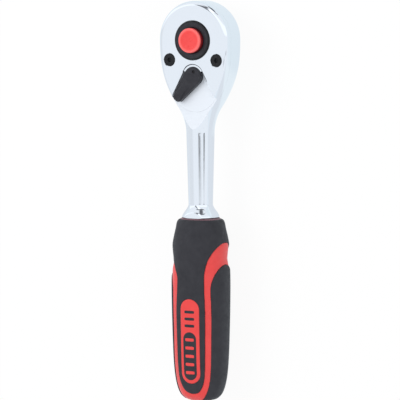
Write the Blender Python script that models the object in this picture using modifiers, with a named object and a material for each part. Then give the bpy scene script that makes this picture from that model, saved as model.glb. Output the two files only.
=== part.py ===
"""Reversible ratchet with a 6.35 mm drive square.

A chromed forging holds a 72-tooth wheel, a rocking pawl with its reversing lever,
and a push-button socket release. The grip is a hard core with soft panels.

The tool lies along +X with its drive axis on Z, button upwards. The origin is the
middle of the drive square's free end. Lengths are in metres, angles in degrees.
"""
import math

import bmesh
import bpy
from mathutils import Matrix, Vector

# Fits
SEAT_GAP = 0.0001
RUN_GAP = 0.00008
TOOTH_GAP = 0.00005
BED_GAP = 0.0002

# Drive wheel and square
SQUARE_SIDE = 0.00635
SQUARE_LENGTH = 0.0075
SQUARE_CHAMFER = 0.0004
JOURNAL_STEP = 0.0018
JOURNAL_PROUD = 0.0008
TOOTH_COUNT = 72
WHEEL_TIP_RADIUS = 0.0082
TOOTH_DEPTH = 0.00045
TOOTH_GAP_SHARE = 0.12
TOOTH_TIP_SHARE = 0.38
WHEEL_WIDTH = 0.0063
WASHER_THICKNESS = 0.0005
END_PLAY = 0.0001

# Head of the forging
HEAD_RADIUS = 0.0145
HEAD_NOSE = 0.036
HEAD_FLOOR = 0.0016
EDGE_ROUND = 0.0018
PLATE_THICKNESS = 0.0031
NECK_AXIS_HEIGHT = 0.0058

# Trumpet flare, neck and tang
OGEE_ANGLE = 32.6
SHOULDER_RADIUS = 0.0468
FILLET_RADIUS = 0.0187
NECK_START_X = 0.0349
NECK_START_RADIUS = 0.00525
NECK_WAIST_X = 0.061
NECK_WAIST_RADIUS = 0.00455
NECK_END_X = 0.066
NECK_END_RADIUS = 0.007
TANG_RADIUS = 0.004
TANG_LENGTH = 0.046

# Cover screws
SCREW_X = 0.0073
SCREW_Y = 0.0098
SCREW_HEAD_RADIUS = 0.0023
SCREW_HEAD_DEPTH = 0.0014
SCREW_SHANK_RADIUS = 0.00125
SCREW_LENGTH = 0.006
SCREW_SUNK = 0.00015
SCREW_SOCKET = 0.0009

# Quick release
RING_STEP = 0.0007
RING_PROUD = 0.0006
RING_LIP = 0.0009
BUTTON_RADIUS = 0.0046
BUTTON_PROUD = 0.0021
BUTTON_FLANGE_RADIUS = 0.0054
BUTTON_FLANGE = 0.0009
BUTTON_TRAVEL = 0.002
BUTTON_ROUND = 0.0006
RELEASE_PIN_RADIUS = 0.0012
RELEASE_PIN_SEAT = 0.0016
RELEASE_PIN_FOOT = 0.0009
RELEASE_SPRING_RADIUS = 0.0024
RELEASE_SPRING_WIRE = 0.00025
RELEASE_SPRING_LENGTH = 0.0054
RELEASE_SPRING_TURNS = 4
BALL_RADIUS = 0.0012
BALL_HEIGHT = 0.004
BALL_PROUD = 0.00055
BALL_TRAVEL = 0.0006

# Pawl
PAWL_PIN_X = 0.01005
PAWL_PIN_RADIUS = 0.0007
PAWL_PIN_DEPTH = 0.0012
PAWL_PIN_REACH = 0.003
PAWL_BACK = 0.0114
PAWL_TIP_WIDTH = 0.0022
PAWL_END_ANGLE = 37.5
PAWL_TEETH = 3
PAWL_ROCK = 7.0
PAWL_SWEEP = 0.0007
PAWL_POCKET_MORE = 5.0
PAWL_TIP_SHARE = 0.06
PAWL_ROOT_SHARE = 0.30

# Reversing lever and selector
LEVER_X = 0.0133
LEVER_HUB_RADIUS = 0.0035
LEVER_TIP_RADIUS = 0.0019
LEVER_REACH = 0.0115
LEVER_THICKNESS = 0.0024
LEVER_THUMB = 0.0013
THUMB_WIDTH_SHARE = 0.7
THUMB_START_SHARE = 0.6
THUMB_END_SHARE = 0.5
LEVER_SWING = 78.0
LEVER_ROUND = 0.0004
RECESS_DEPTH = 0.002
RECESS_ARC_RADIUS = 0.0043
RECESS_HALF_ANGLE = 28.0
RECESS_END_X = 0.0265
RECESS_END_RADIUS = 0.01
RECESS_END_SPAN = 58.0
RUN_OUT_ANGLE = 12.0
SPINDLE_RADIUS = 0.0016
SPINDLE_CAP = 0.0008
PLUNGER_RADIUS = 0.0006
PLUNGER_REACH = 0.00215
PLUNGER_LENGTH = 0.0014
SELECTOR_SPRING_RADIUS = 0.00042
SELECTOR_SPRING_WIRE = 0.00011
SELECTOR_SPRING_LENGTH = 0.0017
SELECTOR_SPRING_TURNS = 2
ORING_RADIUS = 0.00206
ORING_WIRE = 0.00035
LEVER_PIN_RADIUS = 0.00055
LEVER_PIN_ANGLE = 200.0

# Grip: distance from its front and half width
GRIP_PROFILE = (
    (0.0, 0.00770),
    (0.0014, 0.00885),
    (0.0040, 0.00945),
    (0.0070, 0.01015),
    (0.0100, 0.01065),
    (0.0130, 0.01050),
    (0.0152, 0.01030),
    (0.0173, 0.01060),
    (0.0196, 0.01100),
    (0.0300, 0.01105),
    (0.0440, 0.01075),
    (0.0540, 0.01035),
    (0.0600, 0.00975),
    (0.0640, 0.00885),
    (0.0665, 0.00770),
    (0.0680, 0.00610),
    (0.0686, 0.00460),
)
GRIP_DEPTH_RATIO = 0.83
GRIP_FULLNESS = 2.3
PANEL_THICKNESS = 0.0012
RIBBON_DEPTH = 0.00035
CORE_LIP = 0.0004
FRONT_ARCH_START = 0.009
FRONT_ARCH_END = 0.022
FRONT_HALF_ANGLE = 31.0
FRONT_FOOT_START = 0.056
FRONT_FOOT_END = 0.0655
SIDE_ARCH_START = 0.0176
SIDE_ARCH_END = 0.028
SIDE_ANGLE = 45.0
SIDE_FOOT_START = 0.0605
SIDE_FOOT_END = 0.0668
ARCH_FIRST_TURN = 10.0
FOOT_LAST_TURN = 80.0
BADGE_CENTRE = 0.0456
BADGE_LENGTH = 0.0318
BADGE_WIDTH = 0.0078
BADGE_PROUD = 0.0002

# Facets
ROUND_STEPS = 32
FINE_STEPS = 16
SHARP_ANGLE = 35.0
WELD = 1e-6

# Heights and places that follow from the sizes above
HEAD_BOTTOM_Z = SQUARE_LENGTH + JOURNAL_PROUD
POCKET_Z = HEAD_BOTTOM_Z + HEAD_FLOOR
WASHER_Z = POCKET_Z + SEAT_GAP
WHEEL_BOTTOM_Z = WASHER_Z + WASHER_THICKNESS + SEAT_GAP
WHEEL_TOP_Z = WHEEL_BOTTOM_Z + WHEEL_WIDTH
PLATE_BOTTOM_Z = WHEEL_TOP_Z + END_PLAY
PLATE_TOP_Z = PLATE_BOTTOM_Z + PLATE_THICKNESS
RECESS_Z = PLATE_TOP_Z - RECESS_DEPTH
NECK_AXIS_Z = HEAD_BOTTOM_Z + NECK_AXIS_HEIGHT
RING_BOTTOM_Z = WHEEL_TOP_Z + SEAT_GAP
RING_TOP_Z = PLATE_TOP_Z + RING_PROUD
LIP_Z = RING_TOP_Z - RING_LIP
FLANGE_TOP_Z = LIP_Z - SEAT_GAP
FLANGE_BOTTOM_Z = FLANGE_TOP_Z - BUTTON_FLANGE
BUTTON_TOP_Z = RING_TOP_Z + BUTTON_PROUD
WELL_Z = FLANGE_BOTTOM_Z - BUTTON_TRAVEL - SEAT_GAP
SPRING_TOP_Z = FLANGE_BOTTOM_Z - SEAT_GAP
SPRING_BOTTOM_Z = SPRING_TOP_Z - RELEASE_SPRING_LENGTH
PIN_FOOT_Z = BALL_HEIGHT - RELEASE_PIN_FOOT
LEVER_BOTTOM_Z = RECESS_Z + SEAT_GAP
LEVER_TOP_Z = LEVER_BOTTOM_Z + LEVER_THICKNESS
SPINDLE_TOP_Z = LEVER_TOP_Z - SPINDLE_CAP
PLUNGER_Z = WHEEL_TOP_Z - 3 * PLUNGER_RADIUS
PLUNGER_SLOT_Z = PLUNGER_Z - 2 * PLUNGER_RADIUS
TOOTH_PITCH = 360.0 / TOOTH_COUNT
WHEEL_ROOT_RADIUS = WHEEL_TIP_RADIUS - TOOTH_DEPTH
JOURNAL_RADIUS = WHEEL_TIP_RADIUS - JOURNAL_STEP
RING_RADIUS = WHEEL_TIP_RADIUS - RING_STEP
OGEE_X = NECK_START_X - FILLET_RADIUS * math.sin(math.radians(OGEE_ANGLE))
OGEE_RISE = FILLET_RADIUS * (1 - math.cos(math.radians(OGEE_ANGLE)))
OGEE_RADIUS = NECK_START_RADIUS + OGEE_RISE
SHOULDER_TOP_X = OGEE_X - SHOULDER_RADIUS * math.sin(math.radians(OGEE_ANGLE))
GRIP_START_X = NECK_END_X + SEAT_GAP
GRIP_LENGTH = GRIP_PROFILE[-1][0]

PARTS = "reversible_ratchet"
CUTTERS = "ratchet_cutters"


def clear_scene():
    for old in list(bpy.data.objects):
        bpy.data.objects.remove(old, do_unlink=True)
    for name in (PARTS, CUTTERS):
        bpy.context.scene.collection.children.link(bpy.data.collections.new(name))


def finish_material(name, colour, roughness, metallic):
    finish = bpy.data.materials.new(name)
    finish.use_nodes = True
    shader = finish.node_tree.nodes["Principled BSDF"]
    shader.inputs["Base Color"].default_value = (*colour, 1.0)
    shader.inputs["Roughness"].default_value = roughness
    shader.inputs["Metallic"].default_value = metallic
    return finish


def make_finishes():
    return {
        "chrome": finish_material("polished_chrome", (0.86, 0.88, 0.91), 0.08, 1.0),
        "steel": finish_material("hardened_steel", (0.45, 0.46, 0.48), 0.3, 1.0),
        "black_screw": finish_material("black_oxide", (0.03, 0.03, 0.035), 0.4, 1.0),
        "black_plastic": finish_material("black_plastic", (0.045, 0.047, 0.055), 0.35, 0.0),
        "red_button": finish_material("red_button", (0.92, 0.09, 0.09), 0.3, 0.0),
        "red_core": finish_material("red_core", (0.76, 0.075, 0.075), 0.35, 0.0),
        "soft_black": finish_material("soft_black", (0.045, 0.045, 0.055), 0.7, 0.0),
        "seal": finish_material("nitrile_seal", (0.02, 0.02, 0.02), 0.6, 0.0),
    }


def add_object(name, mesh, finish=None):
    """Put a mesh in the scene: with a finish it is a part, without one a hidden cutter."""
    item = bpy.data.objects.new(name, mesh)
    if finish is None:
        item.hide_render = True
        item.display_type = "WIRE"
        bpy.data.collections[CUTTERS].objects.link(item)
    else:
        mesh.materials.clear()
        mesh.materials.append(finish)
        mesh.shade_smooth()
        mesh.set_sharp_from_angle(angle=math.radians(SHARP_ANGLE))
        bpy.data.collections[PARTS].objects.link(item)
    return item


def mesh_of(bm, name):
    mesh = bpy.data.meshes.new(name)
    bm.to_mesh(mesh)
    bm.free()
    return mesh


def welded_mesh(holder):
    """Mesh of a curve or of a mesh with modifiers, with its seams and caps welded."""
    graph = bpy.context.evaluated_depsgraph_get()
    mesh = bpy.data.meshes.new_from_object(holder.evaluated_get(graph))
    bpy.data.objects.remove(holder, do_unlink=True)
    bm = bmesh.new()
    bm.from_mesh(mesh)
    bmesh.ops.remove_doubles(bm, verts=bm.verts, dist=WELD)
    bmesh.ops.recalc_face_normals(bm, faces=bm.faces)
    bm.to_mesh(mesh)
    bm.free()
    return mesh


def curve_mesh(curve, name):
    holder = bpy.data.objects.new(name, curve)
    bpy.context.scene.collection.objects.link(holder)
    return welded_mesh(holder)


def slab_mesh(name, outline, low, high, edge_round=0.0, round_steps=2):
    """Extrude a flat outline between two heights, with rounded rims if asked."""
    curve = bpy.data.curves.new(name, "CURVE")
    curve.dimensions = "2D"
    curve.fill_mode = "BOTH"
    curve.extrude = (high - low) / 2 - edge_round
    curve.bevel_depth = edge_round
    curve.bevel_resolution = round_steps
    curve.offset = -edge_round
    spline = curve.splines.new("POLY")
    spline.points.add(len(outline) - 1)
    for point, (x, y) in zip(spline.points, outline):
        point.co = (x, y, 0.0, 1.0)
    spline.use_cyclic_u = True
    mesh = curve_mesh(curve, name)
    mesh.transform(Matrix.Translation((0, 0, (low + high) / 2)))
    return mesh


def turned_mesh(name, profile, steps=ROUND_STEPS, closed=False):
    """Turn a profile of (radius, height) points, top to bottom, about Z with a Screw."""
    count = len(profile)
    edges = [(i, i + 1) for i in range(count - 1)]
    if closed:
        edges.append((count - 1, 0))
    mesh = bpy.data.meshes.new(name)
    mesh.from_pydata([(radius, 0.0, height) for radius, height in profile], edges, [])
    holder = bpy.data.objects.new(name, mesh)
    bpy.context.scene.collection.objects.link(holder)
    screw = holder.modifiers.new("turn", "SCREW")
    screw.steps = steps
    screw.render_steps = steps
    screw.use_merge_vertices = True
    screw.merge_threshold = WELD
    screw.use_normal_calculate = True
    return welded_mesh(holder)


def cylinder_mesh(name, radius, low, high, steps=ROUND_STEPS, sides_turn=0.0):
    bm = bmesh.new()
    place = Matrix.Translation((0, 0, (low + high) / 2)) @ Matrix.Rotation(sides_turn, 4, "Z")
    bmesh.ops.create_cone(
        bm, cap_ends=True, segments=steps, radius1=radius, radius2=radius, depth=high - low, matrix=place
    )
    return mesh_of(bm, name)


def box_mesh(name, low, high):
    bm = bmesh.new()
    low = Vector(low)
    high = Vector(high)
    size = Matrix.Diagonal((high - low).to_4d())
    bmesh.ops.create_cube(bm, size=1.0, matrix=Matrix.Translation((low + high) / 2) @ size)
    return mesh_of(bm, name)


def join(item, other, operation):
    """Add a Boolean to an object: DIFFERENCE, UNION or INTERSECT."""
    boolean = item.modifiers.new(operation.lower(), "BOOLEAN")
    boolean.operation = operation
    boolean.solver = "EXACT"
    boolean.object = other
    return item


def cut(item, *cutters):
    for cutter in cutters:
        join(item, cutter, "DIFFERENCE")
    return item


def at_x(mesh, x, y=0.0):
    mesh.transform(Matrix.Translation((x, y, 0)))
    return mesh


def along_x(mesh, z):
    """Lay a shape turned about Z along +X, at height z."""
    mesh.transform(Matrix.Translation((0, 0, z)) @ Matrix.Rotation(math.radians(90), 4, "Y"))
    return mesh


def arc(centre, radius, start, end, steps):
    """Points of an arc in the plane, both ends included, angles in degrees."""
    points = []
    for i in range(steps + 1):
        angle = math.radians(start + (end - start) * i / steps)
        points.append((centre[0] + radius * math.cos(angle), centre[1] + radius * math.sin(angle)))
    return points


def turn_about(point, centre, degrees):
    angle = math.radians(degrees)
    dx = point[0] - centre[0]
    dy = point[1] - centre[1]
    x = centre[0] + dx * math.cos(angle) - dy * math.sin(angle)
    y = centre[1] + dx * math.sin(angle) + dy * math.cos(angle)
    return (x, y)


# Forging


def head_outline():
    """Half circle behind the drive axis and half ellipse towards the neck."""
    half = 26
    back = arc((0, 0), HEAD_RADIUS, 90, 270, half)
    nose = []
    for i in range(1, half):
        angle = math.radians(-90 + 180 * i / half)
        nose.append((HEAD_NOSE * math.cos(angle), HEAD_RADIUS * math.sin(angle)))
    return back + nose


def trumpet_radius(x):
    """Radius of the flare: a shoulder arc and a fillet arc that meet at the ogee point."""
    if x < OGEE_X:
        across = max(x, SHOULDER_TOP_X) - SHOULDER_TOP_X
        drop = SHOULDER_RADIUS - math.sqrt(SHOULDER_RADIUS**2 - across**2)
        top = OGEE_RADIUS + SHOULDER_RADIUS * (1 - math.cos(math.radians(OGEE_ANGLE)))
        return top - drop
    across = max(NECK_START_X - x, 0.0)
    return NECK_START_RADIUS + FILLET_RADIUS - math.sqrt(FILLET_RADIUS**2 - across**2)


def trumpet_profile():
    """Half section of the forging along its neck, from behind the head to the tang's end."""
    behind = -HEAD_RADIUS - EDGE_ROUND
    profile = [(0.0, behind), (trumpet_radius(behind), behind)]
    shoulder_steps = 9
    for i in range(shoulder_steps + 1):
        x = SHOULDER_TOP_X + (OGEE_X - SHOULDER_TOP_X) * i / shoulder_steps
        profile.append((trumpet_radius(x), x))
    fillet_steps = 6
    for i in range(1, fillet_steps + 1):
        x = OGEE_X + (NECK_START_X - OGEE_X) * i / fillet_steps
        profile.append((trumpet_radius(x), x))
    profile.append((NECK_WAIST_RADIUS, NECK_WAIST_X))
    flare_steps = 6
    for i in range(1, flare_steps + 1):
        share = i / flare_steps
        rise = share * share * (3 - 2 * share)
        x = NECK_WAIST_X + (NECK_END_X - NECK_WAIST_X) * share
        profile.append((NECK_WAIST_RADIUS + (NECK_END_RADIUS - NECK_WAIST_RADIUS) * rise, x))
    tang_end = NECK_END_X + TANG_LENGTH
    tang_chamfer = TANG_RADIUS / 4
    profile.append((TANG_RADIUS, NECK_END_X))
    profile.append((TANG_RADIUS, tang_end - tang_chamfer))
    profile.append((TANG_RADIUS - tang_chamfer, tang_end))
    profile.append((0.0, tang_end))
    return profile


def slab_exit_x():
    """Where the flare has become thinner than the head, so that the slab no longer trims it."""
    thin = min(NECK_AXIS_HEIGHT, PLATE_TOP_Z - NECK_AXIS_Z) - SEAT_GAP
    low = OGEE_X
    high = NECK_START_X
    for _ in range(30):
        middle = (low + high) / 2
        if trumpet_radius(middle) > thin:
            low = middle
        else:
            high = middle
    return high


def trim_mesh():
    """What lies outside the rounded egg-shaped slab, as far as the slab trims the flare."""
    reach = 2 * HEAD_RADIUS
    trim = add_object(
        "head_trim", box_mesh("head_trim", (-reach, -reach, -reach), (slab_exit_x(), reach, 2 * reach))
    )
    egg = slab_mesh("head_slab", head_outline(), HEAD_BOTTOM_Z, PLATE_TOP_Z, EDGE_ROUND)
    return cut(trim, add_object("head_slab", egg))


def forging(name, trim, finish=None):
    body = along_x(turned_mesh(name, trumpet_profile()), NECK_AXIS_Z)
    return cut(add_object(name, body, finish), trim)


def plate_outline(gap):
    """Wide at the head and closed by an arc towards the neck, which runs straight out to the flanks."""
    radius = RECESS_END_RADIUS + gap
    centre = (RECESS_END_X - RECESS_END_RADIUS, 0.0)
    wide = 2 * HEAD_RADIUS
    end = arc(centre, radius, -RECESS_END_SPAN, RECESS_END_SPAN, 18)
    shoulder = end[0][0]
    return [(shoulder, wide), (-wide, wide), (-wide, -wide), (shoulder, -wide)] + end


def plate_zone(name, gap):
    return slab_mesh(name, plate_outline(gap), PLATE_BOTTOM_Z - gap, PLATE_TOP_Z + EDGE_ROUND)


def run_out_mesh(name):
    """Slope from the recess floor up to the neck: the plate's outline growing with height."""
    slope = math.tan(math.radians(RUN_OUT_ANGLE))
    bm = bmesh.new()
    rings = []
    for z in (RECESS_Z - SEAT_GAP, PLATE_TOP_Z + EDGE_ROUND):
        outline = plate_outline(SEAT_GAP + (z - RECESS_Z) / slope)
        rings.append([bm.verts.new((x, y, z)) for x, y in outline])
    lower, upper = rings
    grid_faces(bm, [lower + [lower[0]], upper + [upper[0]]])
    bm.faces.new(lower)
    bm.faces.new(upper)
    bmesh.ops.recalc_face_normals(bm, faces=bm.faces)
    return mesh_of(bm, name)


def pawl_pocket_outline():
    """Room for the rocking pawl, from the wheel's bore to behind the pawl."""
    reach = PAWL_BACK + PAWL_SWEEP
    end = PAWL_END_ANGLE + PAWL_POCKET_MORE
    inner = WHEEL_ROOT_RADIUS
    outer = arc((0, 0), reach, -end, end, 20)
    return [turn_about((inner, 0), (0, 0), -end)] + outer + [turn_about((inner, 0), (0, 0), end)]


def screw_places():
    return {"cover_screw_left": -SCREW_Y, "cover_screw_right": SCREW_Y}


def ratchet_body(trim, finish):
    body = forging("ratchet_body", trim, finish)
    over = PLATE_TOP_Z + EDGE_ROUND
    bore_radius = WHEEL_TIP_RADIUS + 3 * SEAT_GAP
    slot_half = PLUNGER_REACH * math.sin(math.radians(LEVER_SWING / 2)) + 2 * PLUNGER_RADIUS
    pawl_floor = WHEEL_BOTTOM_Z - SEAT_GAP
    pin_floor = pawl_floor - PAWL_PIN_DEPTH - SEAT_GAP
    pin_hole = cylinder_mesh("pawl_pin_hole", PAWL_PIN_RADIUS + RUN_GAP, pin_floor, over, FINE_STEPS)
    cut(
        body,
        add_object("plate_room", plate_zone("plate_room", SEAT_GAP)),
        add_object("recess_run_out", run_out_mesh("recess_run_out")),
        add_object("wheel_bore", cylinder_mesh("wheel_bore", bore_radius, POCKET_Z, over)),
        add_object("journal_hole", cylinder_mesh("journal_hole", JOURNAL_RADIUS + RUN_GAP, 0, over)),
        add_object("pawl_pocket", slab_mesh("pawl_pocket", pawl_pocket_outline(), pawl_floor, over)),
        add_object(
            "spindle_hole",
            at_x(cylinder_mesh("spindle_hole", SPINDLE_RADIUS + RUN_GAP, pawl_floor, over), LEVER_X),
        ),
        add_object(
            "plunger_slot",
            box_mesh("plunger_slot", (PAWL_BACK, -slot_half, PLUNGER_SLOT_Z), (LEVER_X, slot_half, over)),
        ),
        add_object("pawl_pin_hole", at_x(pin_hole, PAWL_PIN_X)),
    )
    screw_hole = SCREW_SHANK_RADIUS + RUN_GAP
    for name, y in screw_places().items():
        hole = cylinder_mesh(name + "_hole", screw_hole, screw_foot_z() - SEAT_GAP, over, FINE_STEPS)
        cut(body, add_object(name + "_hole", at_x(hole, SCREW_X, y)))
    return body


# Cover plate and its screws


def recess_outline():
    """Fan round the lever: an arc about its pivot and two straight sides, open to the neck."""
    normal = 90 + RECESS_HALF_ANGLE
    hub = arc((LEVER_X, 0), RECESS_ARC_RADIUS, normal, 360 - normal, 16)
    run = 3 * LEVER_REACH
    lean = math.radians(RECESS_HALF_ANGLE)
    step = (run * math.cos(lean), run * math.sin(lean))
    right = (hub[0][0] + step[0], hub[0][1] + step[1])
    left = (hub[-1][0] + step[0], hub[-1][1] - step[1])
    return hub + [left, right]


def screw_foot_z():
    return PLATE_TOP_Z - SCREW_SUNK - SCREW_LENGTH


def screw_profile(grow, rise):
    """Countersunk head and shank, top to bottom; grow and rise make the hole for it."""
    top = PLATE_TOP_Z - SCREW_SUNK
    rim = SCREW_HEAD_DEPTH / 6
    return [
        (0.0, top + rise),
        (SCREW_HEAD_RADIUS + grow, top + rise),
        (SCREW_HEAD_RADIUS + grow, top - rim),
        (SCREW_SHANK_RADIUS + grow, top - SCREW_HEAD_DEPTH),
        (SCREW_SHANK_RADIUS + grow, screw_foot_z() - grow),
        (0.0, screw_foot_z() - grow),
    ]


def cover_plate(trim, finish):
    plate = add_object("cover_plate", plate_zone("cover_plate", 0.0), finish)
    join(plate, forging("plate_forging", trim), "INTERSECT")
    over = PLATE_TOP_Z + 2 * EDGE_ROUND
    cut(
        plate,
        add_object("lever_recess", slab_mesh("lever_recess", recess_outline(), RECESS_Z, over)),
        add_object("ring_hole", cylinder_mesh("ring_hole", RING_RADIUS + RUN_GAP, 0, over)),
        add_object(
            "plate_spindle_hole",
            at_x(cylinder_mesh("plate_spindle_hole", SPINDLE_RADIUS + RUN_GAP, 0, over), LEVER_X),
        ),
    )
    for name, y in screw_places().items():
        hole = turned_mesh(name + "_sink", screw_profile(RUN_GAP, EDGE_ROUND), FINE_STEPS)
        cut(plate, add_object(name + "_sink", at_x(hole, SCREW_X, y)))
    return plate


def cover_screws(finish):
    top = PLATE_TOP_Z - SCREW_SUNK
    for name, y in screw_places().items():
        body = at_x(turned_mesh(name, screw_profile(0.0, 0.0), FINE_STEPS), SCREW_X, y)
        socket = cylinder_mesh(name + "_socket", SCREW_SOCKET, top - SCREW_SOCKET, top + SCREW_SOCKET, 6)
        cut(add_object(name, body, finish), add_object(name + "_socket", at_x(socket, SCREW_X, y)))


# Drive wheel, washer, ring and quick release


def wheel_outline():
    """Tooth gaps centred on each pitch step from the +X axis."""
    outline = []
    gap_half = TOOTH_GAP_SHARE * TOOTH_PITCH
    tip_half = TOOTH_TIP_SHARE * TOOTH_PITCH
    for i in range(TOOTH_COUNT):
        middle = i * TOOTH_PITCH
        for radius, turn in (
            (WHEEL_TIP_RADIUS, -tip_half),
            (WHEEL_ROOT_RADIUS, -gap_half),
            (WHEEL_ROOT_RADIUS, gap_half),
            (WHEEL_TIP_RADIUS, tip_half),
        ):
            outline.append(turn_about((radius, 0), (0, 0), middle + turn))
    return outline


def square_mesh():
    bm = bmesh.new()
    half = SQUARE_SIDE / 2
    top = HEAD_BOTTOM_Z
    place = Matrix.Translation((0, 0, top / 2)) @ Matrix.Diagonal((2 * half, 2 * half, top, 1.0))
    bmesh.ops.create_cube(bm, size=1.0, matrix=place)
    bmesh.ops.bevel(
        bm, geom=bm.edges[:], offset=SQUARE_CHAMFER, offset_type="OFFSET", segments=1, affect="EDGES"
    )
    return mesh_of(bm, "drive_square")


def drive_gear(finish):
    wheel = slab_mesh("drive_gear", wheel_outline(), WHEEL_BOTTOM_Z, WHEEL_TOP_Z)
    gear = add_object("drive_gear", wheel, finish)
    root = WHEEL_BOTTOM_Z + WASHER_THICKNESS
    journal = cylinder_mesh("journal", JOURNAL_RADIUS, SQUARE_LENGTH, root)
    join(gear, add_object("journal", journal), "UNION")
    join(gear, add_object("drive_square", square_mesh()), "UNION")
    over = PLATE_TOP_Z
    spring_bore = RELEASE_SPRING_RADIUS + RELEASE_SPRING_WIRE + RUN_GAP
    pin_stop = PIN_FOOT_Z - BUTTON_TRAVEL - SEAT_GAP
    ball_hole = cylinder_mesh("ball_hole", BALL_RADIUS + RUN_GAP, 0, SQUARE_SIDE, FINE_STEPS)
    sideways = Matrix.Rotation(math.radians(-90), 4, "X")
    ball_hole.transform(Matrix.Translation((0, 0, BALL_HEIGHT)) @ sideways)
    well = cylinder_mesh("button_well", BUTTON_FLANGE_RADIUS + RUN_GAP, WELL_Z, over)
    spring_room = cylinder_mesh("spring_bore", spring_bore, SPRING_BOTTOM_Z - SEAT_GAP, over)
    cut(
        gear,
        add_object("button_well", well),
        add_object("spring_bore", spring_room),
        add_object(
            "release_pin_hole",
            cylinder_mesh("release_pin_hole", RELEASE_PIN_RADIUS + RUN_GAP, pin_stop, over, FINE_STEPS),
        ),
        add_object("ball_hole", ball_hole),
    )
    return gear


def thrust_washer(finish):
    inner = JOURNAL_RADIUS + RUN_GAP
    outer = WHEEL_TIP_RADIUS
    top = WASHER_Z + WASHER_THICKNESS
    profile = [(inner, top), (outer, top), (outer, WASHER_Z), (inner, WASHER_Z)]
    return add_object("thrust_washer", turned_mesh("thrust_washer", profile, closed=True), finish)


def release_ring(finish):
    chamfer = RING_LIP / 3
    hole = BUTTON_RADIUS + RUN_GAP
    well = BUTTON_FLANGE_RADIUS + RUN_GAP
    profile = [
        (hole, RING_TOP_Z - chamfer),
        (hole + chamfer, RING_TOP_Z),
        (RING_RADIUS - chamfer, RING_TOP_Z),
        (RING_RADIUS, RING_TOP_Z - chamfer),
        (RING_RADIUS, RING_BOTTOM_Z),
        (well, RING_BOTTOM_Z),
        (well, LIP_Z),
        (hole, LIP_Z),
    ]
    return add_object("release_ring", turned_mesh("release_ring", profile, closed=True), finish)


def release_button(finish):
    """Cap with a rounded rim and a dished top, a flange under the ring's lip and a socket for the pin."""
    dish = BUTTON_ROUND / 4
    profile = [(0.0, BUTTON_TOP_Z - dish)]
    rim = arc((BUTTON_RADIUS - BUTTON_ROUND, BUTTON_TOP_Z - BUTTON_ROUND), BUTTON_ROUND, 90, 0, 3)
    profile += rim
    profile += [
        (BUTTON_RADIUS, FLANGE_TOP_Z),
        (BUTTON_FLANGE_RADIUS, FLANGE_TOP_Z),
        (BUTTON_FLANGE_RADIUS, FLANGE_BOTTOM_Z),
        (RELEASE_PIN_RADIUS + RUN_GAP, FLANGE_BOTTOM_Z),
        (RELEASE_PIN_RADIUS + RUN_GAP, FLANGE_BOTTOM_Z + RELEASE_PIN_SEAT + SEAT_GAP),
        (0.0, FLANGE_BOTTOM_Z + RELEASE_PIN_SEAT + SEAT_GAP),
    ]
    return add_object("release_button", turned_mesh("release_button", profile), finish)


def release_pin(finish):
    """Round pin whose tapered waist lets the ball in as the pin goes down."""
    chamfer = RELEASE_PIN_RADIUS / 4
    top = FLANGE_BOTTOM_Z + RELEASE_PIN_SEAT
    waist = RELEASE_PIN_RADIUS - BALL_TRAVEL
    waist_z = BALL_HEIGHT + BUTTON_TRAVEL
    profile = [
        (0.0, top),
        (RELEASE_PIN_RADIUS - chamfer, top),
        (RELEASE_PIN_RADIUS, top - chamfer),
        (RELEASE_PIN_RADIUS, waist_z + 1.5 * BALL_RADIUS),
        (waist, waist_z + BALL_RADIUS / 8),
        (waist, waist_z),
        (RELEASE_PIN_RADIUS, BALL_HEIGHT),
        (RELEASE_PIN_RADIUS, PIN_FOOT_Z),
        (0.0, PIN_FOOT_Z),
    ]
    return add_object("release_pin", turned_mesh("release_pin", profile, FINE_STEPS), finish)


def coil_mesh(name, radius, wire, length, turns):
    """One unbroken helix tube from height 0 to length; prints its least gap to itself."""
    per_turn = 10
    count = int(turns * per_turn) + 1
    rise = (length - 2 * wire) / (count - 1)
    curve = bpy.data.curves.new(name, "CURVE")
    curve.dimensions = "3D"
    curve.bevel_depth = wire
    curve.bevel_resolution = 1
    curve.use_fill_caps = True
    spline = curve.splines.new("POLY")
    spline.points.add(count - 1)
    path = []
    for i, point in enumerate(spline.points):
        angle = 2 * math.pi * i / per_turn
        place = Vector((radius * math.cos(angle), radius * math.sin(angle), wire + rise * i))
        path.append(place)
        point.co = (*place, 1.0)
    apart = [
        (path[i] - path[j]).length
        for i in range(count)
        for j in range(i + per_turn // 2, count)
    ]
    print(name, "least gap between turns, mm:", round(1000 * (min(apart) - 2 * wire), 3))
    return curve_mesh(curve, name)


def release_spring(finish):
    coil = coil_mesh(
        "release_spring",
        RELEASE_SPRING_RADIUS,
        RELEASE_SPRING_WIRE,
        RELEASE_SPRING_LENGTH,
        RELEASE_SPRING_TURNS,
    )
    coil.transform(Matrix.Translation((0, 0, SPRING_BOTTOM_Z)))
    return add_object("release_spring", coil, finish)


def detent_ball(finish):
    bm = bmesh.new()
    bmesh.ops.create_uvsphere(bm, u_segments=FINE_STEPS, v_segments=8, radius=BALL_RADIUS)
    ball = add_object("detent_ball", mesh_of(bm, "detent_ball"), finish)
    ball.location = (0, SQUARE_SIDE / 2 + BALL_PROUD - BALL_RADIUS, BALL_HEIGHT)
    return ball


# Pawl


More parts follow.
